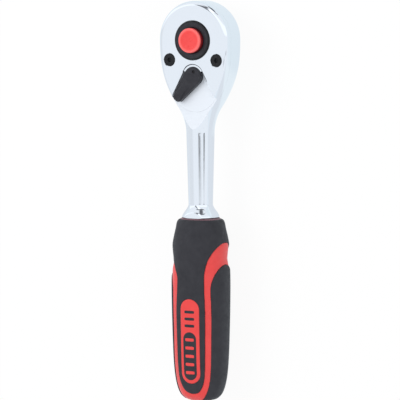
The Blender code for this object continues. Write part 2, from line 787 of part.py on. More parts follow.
def pawl_half_outline():
    """Upper half in the middle position: toothed pad, end and back, from the X axis round to it again."""
    pivot = (PAWL_PIN_X, 0.0)
    first = PAWL_END_ANGLE - PAWL_TEETH * TOOTH_PITCH
    root = WHEEL_TIP_RADIUS + TOOTH_GAP
    tip = WHEEL_ROOT_RADIUS + TOOTH_GAP
    clear = WHEEL_TIP_RADIUS + TOOTH_DEPTH
    tip_half = PAWL_TIP_SHARE * TOOTH_PITCH
    root_half = PAWL_ROOT_SHARE * TOOTH_PITCH
    inner = arc((0, 0), clear, 0, first - TOOTH_PITCH / 2, 6)
    pad = [turn_about((root, 0), (0, 0), first)]
    for i in range(PAWL_TEETH):
        middle = first + (i + 0.5) * TOOTH_PITCH
        for radius, turn in ((root, -root_half), (tip, -tip_half), (tip, tip_half), (root, root_half)):
            pad.append(turn_about((radius, 0), (0, 0), middle + turn))
    end = turn_about((root, 0), (0, 0), PAWL_END_ANGLE)
    corner = turn_about((root + PAWL_TIP_WIDTH, 0), (0, 0), PAWL_END_ANGLE)
    swung = [turn_about(point, pivot, -PAWL_ROCK / 2) for point in pad + [end, corner]]
    back = []
    back_steps = 6
    for i in range(1, back_steps + 1):
        share = i / back_steps
        radius = math.hypot(*swung[-1]) * (1 - share) + PAWL_BACK * share
        angle = math.degrees(math.atan2(swung[-1][1], swung[-1][0])) * (1 - share)
        back.append(turn_about((radius, 0), (0, 0), angle))
    return inner + swung + back


def pawl(finish):
    half = pawl_half_outline()
    lower = [(x, -y) for x, y in reversed(half[1:-1])]
    outline = [(x - PAWL_PIN_X, y) for x, y in half + lower]
    piece = add_object("pawl", slab_mesh("pawl", outline, WHEEL_BOTTOM_Z, WHEEL_TOP_Z), finish)
    piece.location.x = PAWL_PIN_X
    piece.rotation_euler.z = math.radians(PAWL_ROCK / 2)
    hole_top = pawl_pin_top_z() + SEAT_GAP
    hole = cylinder_mesh("pawl_hole", PAWL_PIN_RADIUS + RUN_GAP, 0, hole_top, FINE_STEPS)
    sweep = PLUNGER_REACH + SEAT_GAP
    dish = cylinder_mesh("pawl_dish", sweep, PLUNGER_SLOT_Z, PLUNGER_Z + 2 * PLUNGER_RADIUS)
    return cut(
        piece,
        add_object("pawl_hole", at_x(hole, PAWL_PIN_X)),
        add_object("pawl_dish", at_x(dish, LEVER_X)),
    )


def pawl_pin_top_z():
    return WHEEL_BOTTOM_Z + PAWL_PIN_REACH


def pawl_pin(finish):
    foot = WHEEL_BOTTOM_Z - SEAT_GAP - PAWL_PIN_DEPTH
    pin = cylinder_mesh("pawl_pin", PAWL_PIN_RADIUS, foot, pawl_pin_top_z(), FINE_STEPS)
    piece = add_object("pawl_pin", pin, finish)
    piece.location.x = PAWL_PIN_X
    return piece


# Reversing lever and selector, built along +X and swung to their rest position


def swing_to_rest(piece):
    piece.location.x = LEVER_X
    piece.rotation_euler.z = math.radians(-LEVER_SWING / 2)
    return piece


def lever_outline():
    """Round hub and smaller round tip joined by their common tangents."""
    tip_x = LEVER_REACH - LEVER_TIP_RADIUS
    lean = math.degrees(math.asin((LEVER_HUB_RADIUS - LEVER_TIP_RADIUS) / tip_x))
    hub = arc((0, 0), LEVER_HUB_RADIUS, 90 - lean, 270 + lean, 18)
    tip = arc((tip_x, 0), LEVER_TIP_RADIUS, -90 + lean, 90 - lean, 8)
    return hub + tip


def thumb_mesh():
    """Wedge that rises along the lever from the hub to a thumb edge near the tip."""
    half = LEVER_TIP_RADIUS * THUMB_WIDTH_SHARE
    start = LEVER_HUB_RADIUS * THUMB_START_SHARE
    end = LEVER_REACH - LEVER_TIP_RADIUS * THUMB_END_SHARE
    low = LEVER_TOP_Z - LEVER_THICKNESS / 2
    profile = [(start, low), (end, low), (end, LEVER_TOP_Z + LEVER_THUMB), (start, LEVER_TOP_Z)]
    wedge = slab_mesh("thumb", profile, -half, half)
    wedge.transform(Matrix.Rotation(math.radians(90), 4, "X"))
    return wedge


def reversing_lever(finish):
    plan = slab_mesh("reversing_lever", lever_outline(), LEVER_BOTTOM_Z, LEVER_TOP_Z, LEVER_ROUND, 0)
    lever = swing_to_rest(add_object("reversing_lever", plan, finish))
    join(lever, swing_to_rest(add_object("thumb", thumb_mesh())), "UNION")
    under = LEVER_BOTTOM_Z - LEVER_THICKNESS
    bore = cylinder_mesh("lever_bore", SPINDLE_RADIUS + RUN_GAP, under, SPINDLE_TOP_Z + SEAT_GAP)
    groove_radius = ORING_RADIUS + ORING_WIRE + RUN_GAP
    groove = cylinder_mesh("oring_groove", groove_radius, under, oring_z() + ORING_WIRE + SEAT_GAP)
    return cut(
        lever,
        swing_to_rest(add_object("lever_bore", bore)),
        swing_to_rest(add_object("oring_groove", groove)),
        swing_to_rest(add_object("lever_pin_hole", lever_pin_mesh("lever_pin_hole", RUN_GAP, LEVER_THUMB))),
    )


def lever_pin_mesh(name, grow, rise):
    """Pin along the joint between spindle and lever, below the lever's top."""
    top = LEVER_TOP_Z - LEVER_PIN_RADIUS / 2
    low = oring_z() + ORING_WIRE + 2 * SEAT_GAP
    pin = cylinder_mesh(name, LEVER_PIN_RADIUS + grow, low - grow, top + rise, FINE_STEPS)
    angle = math.radians(LEVER_PIN_ANGLE)
    reach = SPINDLE_RADIUS + LEVER_PIN_RADIUS / 2
    return at_x(pin, reach * math.cos(angle), reach * math.sin(angle))


def lever_pin(finish):
    return swing_to_rest(add_object("lever_pin", lever_pin_mesh("lever_pin", 0.0, 0.0), finish))


def selector_spindle(finish):
    foot = WHEEL_BOTTOM_Z
    shaft = cylinder_mesh("selector_spindle", SPINDLE_RADIUS, foot, SPINDLE_TOP_Z)
    spindle = swing_to_rest(add_object("selector_spindle", shaft, finish))
    back = spring_back_x() - SEAT_GAP
    bore = cylinder_mesh("plunger_bore", PLUNGER_RADIUS + RUN_GAP, back, PLUNGER_REACH, FINE_STEPS)
    return cut(
        spindle,
        swing_to_rest(add_object("plunger_bore", towards_pawl(bore))),
        swing_to_rest(add_object("spindle_key", lever_pin_mesh("spindle_key", RUN_GAP, LEVER_THUMB))),
    )


def towards_pawl(mesh):
    """Lay a shape along local -X at the plunger's height."""
    mesh.transform(Matrix.Translation((0, 0, PLUNGER_Z)) @ Matrix.Rotation(math.radians(-90), 4, "Y"))
    return mesh


def spring_back_x():
    """Inner end of the selector spring, measured from the spindle's axis towards the pawl."""
    return PLUNGER_REACH - PLUNGER_LENGTH - SEAT_GAP - SELECTOR_SPRING_LENGTH


def selector_plunger(finish):
    foot = PLUNGER_REACH - PLUNGER_LENGTH
    dome = arc((0.0, PLUNGER_REACH - PLUNGER_RADIUS), PLUNGER_RADIUS, 90, 0, 5)
    profile = [(max(radius, 0.0), height) for radius, height in dome]
    profile[0] = (0.0, PLUNGER_REACH)
    profile += [(PLUNGER_RADIUS, foot), (0.0, foot)]
    plunger = turned_mesh("selector_plunger", profile, FINE_STEPS)
    return swing_to_rest(add_object("selector_plunger", towards_pawl(plunger), finish))


def selector_spring(finish):
    coil = coil_mesh(
        "selector_spring",
        SELECTOR_SPRING_RADIUS,
        SELECTOR_SPRING_WIRE,
        SELECTOR_SPRING_LENGTH,
        SELECTOR_SPRING_TURNS,
    )
    coil.transform(Matrix.Translation((0, 0, spring_back_x())))
    return swing_to_rest(add_object("selector_spring", towards_pawl(coil), finish))


def oring_z():
    return RECESS_Z + SEAT_GAP + ORING_WIRE


def lever_oring(finish):
    section = arc((ORING_RADIUS, oring_z()), ORING_WIRE, 360, 0, 8)[:-1]
    ring = turned_mesh("lever_oring", section, FINE_STEPS, closed=True)
    return swing_to_rest(add_object("lever_oring", ring, finish))


# Grip


def grip_half_width(distance):
    """Smooth curve through the grip's profile, by cubic steps with finite-difference slopes."""
    last = len(GRIP_PROFILE) - 1
    index = 0
    while index < last - 1 and distance > GRIP_PROFILE[index + 1][0]:
        index += 1
    slopes = []
    for i in (index, index + 1):
        before = GRIP_PROFILE[max(i - 1, 0)]
        after = GRIP_PROFILE[min(i + 1, last)]
        slopes.append((after[1] - before[1]) / (after[0] - before[0]))
    (x0, y0), (x1, y1) = GRIP_PROFILE[index], GRIP_PROFILE[index + 1]
    span = x1 - x0
    u = (distance - x0) / span
    ease = u * u * (3 - 2 * u)
    lift = span * u * (1 - u) * (slopes[0] * (1 - u) - slopes[1] * u)
    return y0 * (1 - ease) + y1 * ease + lift


def grip_point(distance, angle, inset):
    """Point on the grip's oval at an angle from its front, sunk by inset."""
    half = grip_half_width(distance)
    power = 2.0 / GRIP_FULLNESS
    side = math.sin(math.radians(angle))
    front = math.cos(math.radians(angle))
    y = (half - inset) * math.copysign(abs(side) ** power, side)
    z = (half * GRIP_DEPTH_RATIO - inset) * math.copysign(abs(front) ** power, front)
    return (GRIP_START_X + distance, y, NECK_AXIS_Z + z)


def grid_faces(bm, rows):
    for upper, lower in zip(rows, rows[1:]):
        for i in range(len(upper) - 1):
            bm.faces.new((upper[i], lower[i], lower[i + 1], upper[i + 1]))


def panel_mesh(name, bands, inset, columns):
    """Open patch of the grip's surface; a band is a list of (distance, first angle, last angle)."""
    bm = bmesh.new()
    for band in bands:
        rows = []
        for distance, first, last in band:
            angles = [first + (last - first) * i / columns for i in range(columns + 1)]
            rows.append([bm.verts.new(grip_point(distance, angle, inset)) for angle in angles])
        grid_faces(bm, rows)
    bmesh.ops.remove_doubles(bm, verts=bm.verts, dist=1e-7)
    return mesh_of(bm, name)


def thicken(item, thickness):
    solid = item.modifiers.new("wall", "SOLIDIFY")
    solid.thickness = thickness
    solid.offset = -1.0
    return item


def steps_between(low, high, count):
    return [low + (high - low) * i / count for i in range(count + 1)]


def turns_between(low, high, count):
    return [math.radians(turn) for turn in steps_between(low, high, count)]


def grow_angle(grow):
    """Angle round the grip that a gap takes up at its widest part."""
    return math.degrees(grow / max(width for _, width in GRIP_PROFILE))


def tongue_rows(grow):
    """Half angle of the collar and front panel along the grip: full, then arched in, then rounded off."""
    narrow = FRONT_HALF_ANGLE + grow_angle(grow)
    collar = steps_between(CORE_LIP - grow, FRONT_ARCH_START + grow, 5)
    rows = [(distance, 90.0) for distance in collar]
    arch = FRONT_ARCH_END - FRONT_ARCH_START
    for turn in turns_between(0, 90, 7)[1:]:
        distance = FRONT_ARCH_END + grow - arch * math.cos(turn)
        rows.append((distance, narrow + (90 - narrow) * (1 - math.sin(turn))))
    for distance in steps_between(FRONT_ARCH_END, FRONT_FOOT_START, 4)[1:]:
        rows.append((distance + grow, narrow))
    foot = FRONT_FOOT_END - FRONT_FOOT_START
    for turn in turns_between(0, FOOT_LAST_TURN, 5)[1:]:
        rows.append((FRONT_FOOT_START + grow + foot * math.sin(turn), narrow * math.cos(turn)))
    return rows


def tongue_bands(grow):
    rows = tongue_rows(grow)
    front = [(distance, -half, half) for distance, half in rows]
    back = [(distance, 180 - half, 180 + half) for distance, half in rows]
    return [front, back]


def side_rows(grow):
    """Half angle of a side panel about the grip's side, rounded at both ends."""
    half = 90 - SIDE_ANGLE + grow_angle(grow)
    arch = SIDE_ARCH_END - SIDE_ARCH_START + grow
    foot = SIDE_FOOT_END - SIDE_FOOT_START + grow
    rows = []
    for turn in turns_between(ARCH_FIRST_TURN, 90, 6):
        rows.append((SIDE_ARCH_END - arch * math.cos(turn), half * math.sin(turn)))
    for distance in steps_between(SIDE_ARCH_END, SIDE_FOOT_START, 4)[1:]:
        rows.append((distance, half))
    for turn in turns_between(0, FOOT_LAST_TURN, 5)[1:]:
        rows.append((SIDE_FOOT_START + foot * math.sin(turn), half * math.cos(turn)))
    return rows


def side_band(centre, grow):
    return [[(distance, centre - half, centre + half) for distance, half in side_rows(grow)]]


def panel(name, bands, columns, finish):
    return thicken(add_object(name, panel_mesh(name, bands, 0.0, columns), finish), PANEL_THICKNESS)


def panel_room(name, bands, columns):
    """Cutter for a panel's bed in the core, from the grip's outer surface to under the panel."""
    room = add_object(name, panel_mesh(name, bands, 0.0, columns))
    return thicken(room, PANEL_THICKNESS + BED_GAP)


def grip_core(finish):
    stations = steps_between(0.0, CORE_LIP, 1)
    stations += steps_between(CORE_LIP, SIDE_ARCH_END, 11)[1:]
    stations += steps_between(SIDE_ARCH_END, FRONT_FOOT_START, 4)[1:]
    stations += steps_between(FRONT_FOOT_START, GRIP_LENGTH, 8)[1:]
    around = 24
    bm = bmesh.new()
    rows = []
    for distance in stations:
        angles = [360.0 * i / around for i in range(around)]
        ring = [bm.verts.new(grip_point(distance, angle, RIBBON_DEPTH)) for angle in angles]
        rows.append(ring + [ring[0]])
    grid_faces(bm, rows)
    bm.faces.new(list(reversed(rows[0][:-1])))
    bm.faces.new(rows[-1][:-1])
    bmesh.ops.recalc_face_normals(bm, faces=bm.faces)
    core = add_object("grip_core", mesh_of(bm, "grip_core"), finish)
    bore = cylinder_mesh("tang_bore", TANG_RADIUS + SEAT_GAP, 0, GRIP_START_X + TANG_LENGTH + SEAT_GAP)
    cut(
        core,
        add_object("tang_bore", along_x(bore, NECK_AXIS_Z)),
        panel_room("tongue_room", tongue_bands(BED_GAP), 8),
        panel_room("side_room_right", side_band(90.0, BED_GAP), 6),
        panel_room("side_room_left", side_band(270.0, BED_GAP), 6),
    )
    return core


def stadium(grow):
    """Badge outline: two half circles and straight sides along the grip."""
    radius = BADGE_WIDTH / 2 + grow
    middle = GRIP_START_X + BADGE_CENTRE
    reach = (BADGE_LENGTH - BADGE_WIDTH) / 2
    return arc((middle + reach, 0), radius, -90, 90, 16) + arc((middle - reach, 0), radius, 90, 270, 16)


def stadium_prism(name, grow):
    return slab_mesh(name, stadium(grow), NECK_AXIS_Z, NECK_AXIS_Z + 2 * HEAD_RADIUS)


def grip_overmould(finish):
    skin = panel("grip_overmould", tongue_bands(0.0), 8, finish)
    return cut(skin, add_object("badge_window", stadium_prism("badge_window", SEAT_GAP)))


def grip_badge(finish):
    reach = BADGE_LENGTH / 2 + BADGE_WIDTH / 4
    rows = steps_between(BADGE_CENTRE - reach, BADGE_CENTRE + reach, 8)
    blank = [[(distance, -FRONT_HALF_ANGLE, FRONT_HALF_ANGLE) for distance in rows]]
    badge = add_object("grip_badge", panel_mesh("grip_badge", blank, -BADGE_PROUD, 8), finish)
    thicken(badge, PANEL_THICKNESS + BADGE_PROUD)
    return join(badge, add_object("badge_stadium", stadium_prism("badge_stadium", 0.0)), "INTERSECT")


def build():
    clear_scene()
    finish = make_finishes()
    trim = trim_mesh()
    ratchet_body(trim, finish["chrome"])
    cover_plate(trim, finish["chrome"])
    cover_screws(finish["black_screw"])
    drive_gear(finish["steel"])
    thrust_washer(finish["steel"])
    release_ring(finish["black_plastic"])
    release_button(finish["red_button"])
    release_pin(finish["steel"])
    release_spring(finish["steel"])
    detent_ball(finish["steel"])
    pawl(finish["steel"])
    pawl_pin(finish["steel"])
    reversing_lever(finish["black_plastic"])
    lever_pin(finish["steel"])
    selector_spindle(finish["steel"])
    selector_plunger(finish["steel"])
    selector_spring(finish["steel"])
    lever_oring(finish["seal"])
    grip_core(finish["red_core"])
    grip_overmould(finish["soft_black"])
    panel("grip_side_right", side_band(90.0, 0.0), 6, finish["soft_black"])
    panel("grip_side_left", side_band(270.0, 0.0), 6, finish["soft_black"])
    grip_badge(finish["red_core"])


build()
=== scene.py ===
"""Looks of the reversible ratchet: smooth chromed forging, soft-panelled grip and studio.

Shapes are worked out in millimetres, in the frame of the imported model: the tool lies
along +X, the drive axis is Z, and the drive square's free end is at height 0.
"""
import math
from collections import namedtuple

import bmesh
import bpy
import numpy as np
from mathutils import Matrix, Vector

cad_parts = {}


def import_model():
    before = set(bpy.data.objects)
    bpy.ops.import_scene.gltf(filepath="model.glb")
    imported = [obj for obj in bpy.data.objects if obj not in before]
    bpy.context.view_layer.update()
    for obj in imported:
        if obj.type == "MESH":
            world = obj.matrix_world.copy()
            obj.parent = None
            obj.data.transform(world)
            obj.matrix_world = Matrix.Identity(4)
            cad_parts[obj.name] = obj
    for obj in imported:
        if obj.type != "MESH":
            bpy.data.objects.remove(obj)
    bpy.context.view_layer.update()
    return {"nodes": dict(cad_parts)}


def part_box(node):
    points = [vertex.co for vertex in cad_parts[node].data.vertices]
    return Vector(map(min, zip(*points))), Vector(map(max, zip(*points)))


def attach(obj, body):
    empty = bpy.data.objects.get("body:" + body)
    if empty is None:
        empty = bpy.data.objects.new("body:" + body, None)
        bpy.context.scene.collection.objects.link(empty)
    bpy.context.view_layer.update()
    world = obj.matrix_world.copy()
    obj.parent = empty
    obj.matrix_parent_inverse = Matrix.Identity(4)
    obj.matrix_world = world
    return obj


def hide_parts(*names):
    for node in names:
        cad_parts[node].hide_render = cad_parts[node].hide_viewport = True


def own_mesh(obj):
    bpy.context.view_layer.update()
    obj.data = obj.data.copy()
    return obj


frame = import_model()

MM = 0.001
WELD_REACH = 0.002
SLIVER = 0.0001
SHARP_EDGE = math.radians(32.0)
SEAT_GAP = 0.1
SEAM = 0.02
RUN_GAP = 0.08

# Heights of the head, from the drive square's free end
HEAD_LOW = 8.3
POCKET_FLOOR = 9.9
PAWL_FLOOR = 10.5
PLATE_LOW = 17.0
PLATE_TOP = 20.1
RECESS_FLOOR = 18.1
AXIS_HEIGHT = 14.1

# Plan of the head and run of the neck
HEAD_RADIUS = 14.5
HEAD_NOSE = 36.0
EDGE_ROUND = 1.8
SLAB_END = 28.6
CREASE_HARDNESS = 70.0
SHOULDER_RADIUS = 46.8
FILLET_RADIUS = 18.7
OGEE_ANGLE = math.radians(32.6)
NECK_X = 34.9
NECK_RADIUS = 5.25
OGEE_X = NECK_X - FILLET_RADIUS * math.sin(OGEE_ANGLE)
SHOULDER_START = OGEE_X - SHOULDER_RADIUS * math.sin(OGEE_ANGLE)
SHOULDER_TOP = NECK_RADIUS + (FILLET_RADIUS + SHOULDER_RADIUS) * (1 - math.cos(OGEE_ANGLE))
WAIST_X = 61.0
WAIST_RADIUS = 4.55
FLARE_X = 66.0
FLARE_RADIUS = 7.0
FLARE_LIP = 0.35
TANG_RADIUS = 4.0
TANG_END = 112.0
TANG_CHAMFER = 1.0

# Holes in the head, and how far their tools reach
TOOL_LOW = 10.0
TOOL_TOP = PLATE_TOP + EDGE_ROUND
WHEEL_BORE = 8.5
JOURNAL_HOLE = 6.4 + RUN_GAP
SPINDLE_HOLE = 1.6 + RUN_GAP
PAWL_PIN_HOLE = 0.7 + RUN_GAP
PAWL_PIN_X = 10.05
PAWL_PIN_LOW = 9.2
POCKET_RADII = (12.1, 7.75)
POCKET_SPAN = 42.5

# Recess with its run-out and step
RECESS_ARC = 4.3
RECESS_LEAN = 28.0
RECESS_SIDE = (5.0, 32.0)
RECESS_END_X = 26.5
RECESS_END_ARC = 10.0
RECESS_END_SPAN = 58.0
RECESS_OVER = 1.5
HUB_CHAMFER = 0.3
RUN_OUT_ANGLE = math.radians(12.0)
STEP_GAP = 0.12

# Lever
LEVER_X = 13.3
LEVER_LOW = 18.2
LEVER_TOP = 20.6
LEVER_HUB = 3.5
LEVER_TIP = 1.9
TIP_BLUNT = 0.75
LEVER_REACH = 11.5
LEVER_REST = math.radians(-39.0)
LEVER_ROLL = 0.14
LEVER_ROLL_DEPTH = 0.45
LEVER_FOOT = (LEVER_LOW + 0.12, LEVER_LOW, LEVER_LOW)
LEVER_FOOT_SHARES = (1.0, 0.97, 0.0)
THUMB_RISE = 1.3
THUMB_CURVE = 1.3
THUMB_ALONG = (2.2, 9.2)
THUMB_END = (10.95, 10.45)
THUMB_SIDE = (1.55, 1.0)

# Screws; a row is a radius, a depth under the top and a share of the socket's hexagon
SCREW_X = 7.3
SCREW_Y = 9.8
SCREW_TOP = 19.95
SCREW_HOLE = 1.25 + RUN_GAP
SCREW_HOLE_LOW = 13.85
SOCKET_HALF = 0.9 * math.cos(math.pi / 6)
SCREW_ROWS = np.array([
    (0, 0.95, 0), (0, 0.8, 1), (0, 0.1, 1), (0.1, 0, 1), (2.12, 0, 0), (2.25, 0.05, 0), (2.3, 0.14, 0),
    (2.3, 0.23, 0), (1.25, 1.4, 0), (1.25, 6.0, 0), (0, 6.0, 0),
])

# Turned profiles: radius and height, and a corner's softening for the ring and the button
SCREW_SINK = np.array([
    (0, 22.0), (4.43, 22.0), (2.38, 19.96), (2.38, 19.7), (SCREW_HOLE, 18.5), (SCREW_HOLE, 13.0), (0, 13.0),
])
RING_HOLE = np.array([(0, TOOL_TOP), (9.21, TOOL_TOP), (7.36, 20.05), (7.36, TOOL_LOW), (0, TOOL_LOW)])
RING_CORNERS = np.array([
    (4.68, 19.8, 0), (4.68, 20.6, 0.4), (6.0, 20.7, 0.5), (7.22, 20.65, 0.4), (7.22, 17.0, 0.1),
    (5.48, 17.0, 0.1), (5.48, 19.8, 0.05), (4.68, 19.8, 0),
])
BUTTON_CORNERS = np.array([
    (0, 22.58, 0), (2.6, 22.62, 1.2), (3.7, 22.8, 0.7), (4.6, 22.8, 0.75), (4.6, 19.7, 0.1),
    (5.4, 19.7, 0.1), (5.4, 18.8, 0.1), (1.28, 18.8, 0.05), (1.28, 20.5, 0), (0, 20.5, 0),
])
COIL_WIRE = 0.25
COIL_TURNS = 4
BALL_RADIUS = 1.2
BALL_HEIGHT = 4.0
BALL_OUT = 2.525

# Grip
GRIP_X = 66.1
GRIP_RUN = np.array([0, 1.4, 4, 7, 10, 13, 15.2, 17.3, 19.6, 30, 44, 54, 60, 64, 66.5, 68, 68.6])
GRIP_HALF = np.array([7.7, 8.85, 9.45, 10.15, 10.65, 10.5, 10.3, 10.6, 11.0, 11.05, 10.75, 10.35,
                      9.75, 8.85, 7.7, 6.1, 4.6])
GRIP_DEPTH = 0.83
GRIP_FULLNESS = 2.3
PANEL_WALL = 1.2
PANEL_ROLL = 0.55
PANEL_DIP = 0.5
PANEL_CROWDING = 0.35
BED_GAP = 0.06
BED_REACH = 1.2
RIBBON_DEPTH = 0.35
CORE_LIP = 0.5
CORE_ROUND = (66.5, 68.6)
CORE_FRONT = 0.6
BORE_OVER = 0.2
BUTT_DOME = 0.5
BUTT_SHARES = (0.93, 0.8, 0.55, 0.28, 0.0)
MOUTH_DEPTH = 0.55
MOUTH_RUN = 1.2
RIGHT, LEFT = 1, -1
Tongue = namedtuple("Tongue", "arch half sway")
TONGUES = {RIGHT: Tongue((9.0, 22.0), 30.2, 2.2), LEFT: Tongue((14.8, 23.0), 33.2, 4.6)}
TONGUE_FOOT = (56.0, 65.5)
TONGUE_TIP = 0.004
Side = namedtuple("Side", "middle wide held arch")
SIDES = {
    "side_right": Side(90.0, 45.0, 0.0, (17.2, 27.0)),
    "side_left": Side(266.5, 41.5, 1.0, (20.0, 29.0)),
}
SIDE_TIP = 0.03
SIDE_DRIFT = 6.0
SIDE_DRIFT_RUN = (40.0, 60.0)
SIDE_SWAY = 2.8
SWAY_MIDDLE = 22.5
SWAY_REACH = 14.0
SIDE_FOOT = (56.0, 69.6)
SIDE_END = 68.2
FOOT_FULLNESS = 2.5

# Badge and its inset: length, width and middle
BADGE = (31.8, 7.8, GRIP_X + 45.6)
BADGE_PROUD = 0.2
BADGE_ROLL = 0.1
WINDOW_TOP = 40.0
INSET = (18.2, 5.5, 117.2)
INSET_PROUD = 0.25
INSET_DEPTH = 0.2
INLAY_DROP = 0.25
BAR_PROUD = 0.29
BAR_ROLL = 0.15
BAR_SQUARENESS = 0.35
RED_BARS = (111.0, 114.1, 117.2, 120.3, 123.4)
RED_BAR_SIZE = (1.2, 3.7)
BLACK_BARS = (100.6, 103.2, 105.8)
BLACK_BAR_SIZE = (1.1, 4.2)

# Finishes: the part of a noise's range that is used
NOISE_SPAN = (0.3, 0.7)

# Studio: the floor has a tone in reflections for each stretch along the tool
WHITE = (1.0, 1.0, 1.0, 1.0)
FLOOR_HALF = 3000.0
FLOOR_HEIGHT = -0.2
FLOOR_PAINT = (0.9, 0.9, 0.9, 1.0)
FLOOR_GLOW = 0.93
FLOOR_TONES = (
    ((-20.0, 12.0), (0.84, 0.92, 0.96)),
    ((18.0, 33.0), (0.9, 0.97, 1.0)),
    ((38.0, 65.0), (0.8, 0.84, 0.88)),
    ((69.0, 80.0), (0.86, 0.93, 0.98)),
)
MIRRORED_WHITE = (0.93, 0.965, 1.0, 1.0)
MIRRORED_DARK = (0.05, 0.05, 0.06, 1.0)
LAMP_GAIN = 0.4
AMBIENT_TONE = (0.97, 0.98, 1.0, 1.0)
AMBIENT_LEVEL = 0.62
SOFTBOXES = {"key_softbox": ((-250, -500, 900), 6.0), "fill_softbox": ((300, 800, 700), 3.0)}
SOFTBOX_AIM = (60, 0, 14)
SOFTBOX_SIZE = 700.0

# Camera; the focal length and the shift are in pixels of the photograph
CAMERA_LEAN = math.radians(28.6)
CAMERA_TIP = math.radians(5.3)
CAMERA_ROLL = math.radians(-0.2)
CAMERA_AIM = (59.58, 0, AXIS_HEIGHT)
CAMERA_DISTANCE = 1000.0
CAMERA_REACH = 20000.0
HALF_PICTURE = 200.0
FOCAL = 2684.0
SIDE_SHIFT = 0.71


# Meshes


def linked(name, data):
    """New object in the scene for a mesh, a lamp or a camera."""
    item = bpy.data.objects.new(name, data)
    bpy.context.scene.collection.objects.link(item)
    return item


def grid_faces(rows, columns, wrap, start=0):
    """Quads between neighbouring rows and columns; wrap joins the last column to the first."""
    row = np.arange(rows - 1)[:, None]
    column = np.arange(columns if wrap else columns - 1)[None, :]
    after = (column + 1) % columns
    corners = [row * columns + column, (row + 1) * columns + column]
    corners += [(row + 1) * columns + after, row * columns + after]
    return start + np.stack(corners, axis=-1).reshape(-1, 4)


def weld(mesh):
    """Merge seams and poles, and turn every face of the closed shell outwards."""
    bm = bmesh.new()
    bm.from_mesh(mesh)
    bmesh.ops.remove_doubles(bm, verts=bm.verts, dist=WELD_REACH * MM)
    bmesh.ops.dissolve_degenerate(bm, edges=bm.edges, dist=SLIVER * MM)
    bmesh.ops.recalc_face_normals(bm, faces=bm.faces)
    bm.to_mesh(mesh)
    bm.free()


def solid(name, points, faces):
    """Object at the origin from points in millimetres and lists of faces."""
    mesh = bpy.data.meshes.new(name)
    mesh.from_pydata((np.asarray(points, float) * MM).tolist(), [], faces)
    weld(mesh)
    return linked(name, mesh)


def grid_solid(name, grid):
    """Closed surface from one grid of points (rows, columns, 3) whose end rows shut or meet in the weld."""
    rows, columns, _ = grid.shape
    return solid(name, grid.reshape(-1, 3), grid_faces(rows, columns, True).tolist())


def stacked(name, outlines, levels):
    """Closed solid through flat outlines with as many points each, one at each level."""
    count = len(outlines[0])
    rows = [np.column_stack([plan, np.full(count, level)]) for plan, level in zip(outlines, levels)]
    last = (len(rows) - 1) * count
    faces = grid_faces(len(rows), count, True).tolist()
    faces += [list(range(count)), list(range(last, last + count))]
    return solid(name, np.vstack(rows), faces)


def prism(name, outline, low, high):
    """Flat outline carried straight up from low to high."""
    return stacked(name, [outline, outline], [low, high])


def carve(item, *tools, operation="DIFFERENCE"):
    """Cut tools from an item, or keep what they share, and drop the tools."""
    for tool in tools:
        step = item.modifiers.new("carve", "BOOLEAN")
        step.operation = operation
        step.solver = "EXACT"
        step.object = tool
    graph = bpy.context.evaluated_depsgraph_get()
    mesh = bpy.data.meshes.new_from_object(item.evaluated_get(graph))
    item.modifiers.clear()
    item.data = mesh
    for tool in tools:
        bpy.data.objects.remove(tool, do_unlink=True)


def arc(centre, radius, start, end, steps):
    """Points on a circle from one angle to another, in degrees, both ends included."""
    turn = np.radians(np.linspace(start, end, steps))
    return np.column_stack([centre[0] + radius * np.cos(turn), centre[1] + radius * np.sin(turn)])


def ramped(value, start, end):
    """Share of the way from start to end, held between 0 and 1."""
    return np.clip((value - start) / (end - start), 0, 1)


def smooth(share):
    """S-shaped step from 0 to 1: three squares less two cubes."""
    return share * share * (3 - 2 * share)


def bulged(value, power):
    """Power of a value's size, with its sign kept, as a superellipse has it."""
    return np.sign(value) * np.abs(value) ** power


def sunk(share):
    """Depth of a quarter round: 0 at share 0, and 1 at share 1."""
    return 1 - np.sqrt(1 - share**2)


def eased(first, last, count):
    """Stations that crowd together towards the last one, as a sine does."""
    return first + (last - first) * np.sin(np.linspace(0, np.pi / 2, count))


def crowded(first, last, count, start=0.0):
    """Stations that crowd together towards the first one, as a cosine does from an angle on."""
    return first + (last - first) * (1 - np.cos(np.linspace(start, np.pi / 2, count)))


def softened(corners, steps=5):
    """Profile through corners (radius, height, softening): each corner becomes a short parabola."""
    points = corners[:, :2]
    leg = np.diff(points, axis=0)
    length = np.hypot(*leg.T)[:, None]
    reach = np.minimum(corners[1:-1, 2:], [length[:-1] / 2, length[1:] / 2])
    corner = points[1:-1, None]
    first = corner - (leg[:-1] / length[:-1] * reach[0])[:, None]
    last = corner + (leg[1:] / length[1:] * reach[1])[:, None]
    share = np.linspace(0, 1, steps)[:, None]
    bends = first * (1 - share) ** 2 + 2 * corner * share * (1 - share) + last * share**2
    return np.vstack([points[:1], bends.reshape(-1, 2), points[-1:]])


def whole_turn(steps):
    """Even angles round a circle."""
    return np.linspace(0, 2 * np.pi, steps, endpoint=False)


def turned(name, profile, centre=(0.0, 0.0), steps=96):
    """Profile of (radius, height) carried round a vertical axis at centre."""
    turn = whole_turn(steps)
    radius, height = profile.T[:, :, None]
    x = centre[0] + radius * np.cos(turn)
    y = centre[1] + radius * np.sin(turn)
    return grid_solid(name, np.stack([x, y, np.broadcast_to(height, x.shape)], axis=-1))


def bar(name, radius, low, high, centre=(0.0, 0.0), steps=96):
    """Round bar with flat ends, used as a tool."""
    profile = np.array([(0.0, high), (radius, high), (radius, low), (0.0, low)])
    return turned(name, profile, centre, steps)


def rim_rows(roll, flat, bend):
    """Shares of the way from a spine to a rim, closer over the last stretch, and how far each has
    rolled over there, as a quarter round."""
    share = np.concatenate([np.linspace(0, 1 - roll, flat), eased(1 - roll, 1, bend)[1:]])
    return share, sunk(ramped(share, 1 - roll, 1))


